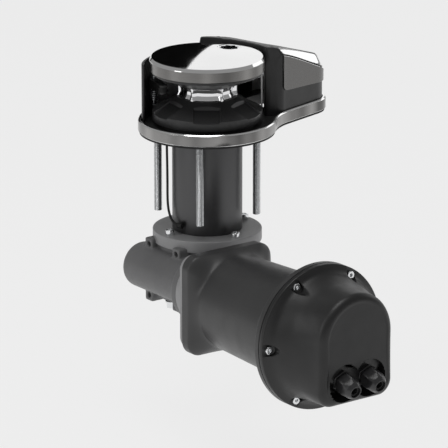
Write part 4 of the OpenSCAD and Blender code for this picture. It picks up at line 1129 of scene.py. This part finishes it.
class WINDLASS_OT_stage(WindlassOperator, bpy.types.Operator):
    """Makes the pale floor, the soft lights and the camera"""
    bl_idname = "windlass.stage"
    bl_label = "Stage, lights and camera"

    def build(self, sizes, colours):
        scene = bpy.context.scene
        floor_mesh = bpy.data.meshes.new("floor")
        s, z = 12.0, -sizes.floor_drop
        floor_mesh.from_pydata([(-s, -s, z), (s, -s, z), (s, s, z), (-s, s, z)], [], [(0, 1, 2, 3)])
        floor = bpy.data.objects.new("floor", floor_mesh)
        scene.collection.objects.link(floor)
        pale = bpy.data.materials.new("Pale floor")
        pale.use_nodes = True
        tree = pale.node_tree
        bsdf = tree.nodes["Principled BSDF"]
        bsdf.inputs["Base Color"].default_value = (0.1, 0.1, 0.1, 1)
        bsdf.inputs["Roughness"].default_value = 0.9
        bsdf.inputs["Specular IOR Level"].default_value = 0.0
        bsdf.inputs["Emission Color"].default_value = (1, 1, 1, 1)
        bsdf.inputs["Emission Strength"].default_value = 0.79
        floor_mesh.materials.append(pale)

        world = bpy.data.worlds.new("Studio")
        world.use_nodes = True
        world.node_tree.nodes["Background"].inputs["Color"].default_value = (1, 1, 1, 1)
        world.node_tree.nodes["Background"].inputs["Strength"].default_value = 0.28
        scene.world = world
        scene.view_settings.view_transform = "Standard"

        def card(name, place, aim, wide, high, glow, lean=0.0):
            """A flat card that is only seen as a reflection in the bright pieces."""
            mesh = bpy.data.meshes.new(name)
            w, h = wide / 2, high / 2
            mesh.from_pydata([(-w, -h, 0), (w, -h, 0), (w, h, 0), (-w, h, 0)], [], [(0, 1, 2, 3)])
            mat = bpy.data.materials.new(name)
            mat.use_nodes = True
            shader = mat.node_tree.nodes["Principled BSDF"]
            shader.inputs["Base Color"].default_value = (0.004, 0.004, 0.004, 1)
            shader.inputs["Roughness"].default_value = 1.0
            shader.inputs["Specular IOR Level"].default_value = 0.0
            shader.inputs["Emission Color"].default_value = (1, 1, 1, 1)
            shader.inputs["Emission Strength"].default_value = glow
            mesh.materials.append(mat)
            obj = bpy.data.objects.new(name, mesh)
            obj.location = place
            obj.rotation_euler = (Vector(aim) - Vector(place)).to_track_quat("Z", "Y").to_euler()
            obj.rotation_euler.rotate_axis("Z", math.radians(lean))
            obj.visible_camera = False
            scene.collection.objects.link(obj)

        card("Dark card behind", (1.2, 3.1, 0.74), (0, 0, 0.09), 1.8, 1.1, 0.0, 11)
        card("White card behind", (2.35, 3.1, 1.35), (0, 0, 0.09), 3.2, 2.2, 0.95)
        card("White card at the right", (2.8, 0.1, 0.85), (0.1, 0, 0.05), 1.7, 1.1, 1.2)

        def light(name, place, aim, size, power, height=None):
            data = bpy.data.lights.new(name, "AREA")
            data.shape = "RECTANGLE"
            data.size = size
            data.size_y = height or size
            data.energy = power
            obj = bpy.data.objects.new(name, data)
            obj.location = place
            obj.rotation_euler = (Vector(aim) - Vector(place)).to_track_quat("-Z", "Y").to_euler()
            scene.collection.objects.link(obj)

        light("Key", (-0.5, -0.3, 2.4), (0, -0.1, 0), 1.4, 20)
        light("Left strip", (-1.9, 0.2, 0.7), (0, -0.1, -0.05), 0.5, 5, 1.4)

        camera = bpy.data.cameras.new("Camera")
        camera.sensor_width = 36
        camera.lens = 3821.0 / 448 * 36
        camera.clip_start, camera.clip_end = 0.5, 40
        obj = bpy.data.objects.new("Camera", camera)
        turn, lift = math.radians(-36.9), math.radians(16.8)
        back = Vector((math.sin(turn) * math.cos(lift), -math.cos(turn) * math.cos(lift), math.sin(lift)))
        right = Vector((math.cos(turn), math.sin(turn), 0))
        up = back.cross(right)
        # The axis of the gypsy at the deck face lies left of the middle of the view and above it.
        place = back * 4.583 + right * 0.02015 - up * 0.11142
        obj.matrix_world = Matrix((
            (right.x, up.x, back.x, place.x), (right.y, up.y, back.y, place.y),
            (right.z, up.z, back.z, place.z), (0, 0, 0, 1)))
        scene.collection.objects.link(obj)
        scene.camera = obj


STEPS = (
    WINDLASS_OT_finishes, WINDLASS_OT_clutch_cap, WINDLASS_OT_gypsy, WINDLASS_OT_base_ring,
    WINDLASS_OT_hood, WINDLASS_OT_hood_cover, WINDLASS_OT_screws, WINDLASS_OT_deck_studs,
    WINDLASS_OT_spacer_tube, WINDLASS_OT_sensor_cable, WINDLASS_OT_gearbox, WINDLASS_OT_motor_cover,
    WINDLASS_OT_end_cap, WINDLASS_OT_glands, WINDLASS_OT_stage,
)


class WINDLASS_PT_panel(bpy.types.Panel):
    """Lists the windlass operators"""
    bl_idname = "WINDLASS_PT_panel"
    bl_label = "Anchor windlass"
    bl_space_type = "VIEW_3D"
    bl_region_type = "UI"
    bl_category = "Windlass"

    def draw(self, context):
        layout = self.layout
        for group in (context.scene.windlass_sizes, context.scene.windlass_colours):
            for name in group.__annotations__:
                layout.prop(group, name)
        for step in STEPS:
            layout.operator(step.bl_idname)


CLASSES = (WindlassSizes, WindlassColours, *STEPS, WINDLASS_PT_panel)


def register():
    for cls in CLASSES:
        bpy.utils.register_class(cls)
    bpy.types.Scene.windlass_sizes = PointerProperty(type=WindlassSizes)
    bpy.types.Scene.windlass_colours = PointerProperty(type=WindlassColours)


def unregister():
    del bpy.types.Scene.windlass_sizes
    del bpy.types.Scene.windlass_colours
    for cls in reversed(CLASSES):
        bpy.utils.unregister_class(cls)


def main():
    register()
    for step in STEPS:
        group, name = step.bl_idname.split(".")
        getattr(getattr(bpy.ops, group), name)()
    bpy.context.view_layer.update()


if __name__ == "__main__":
    main()
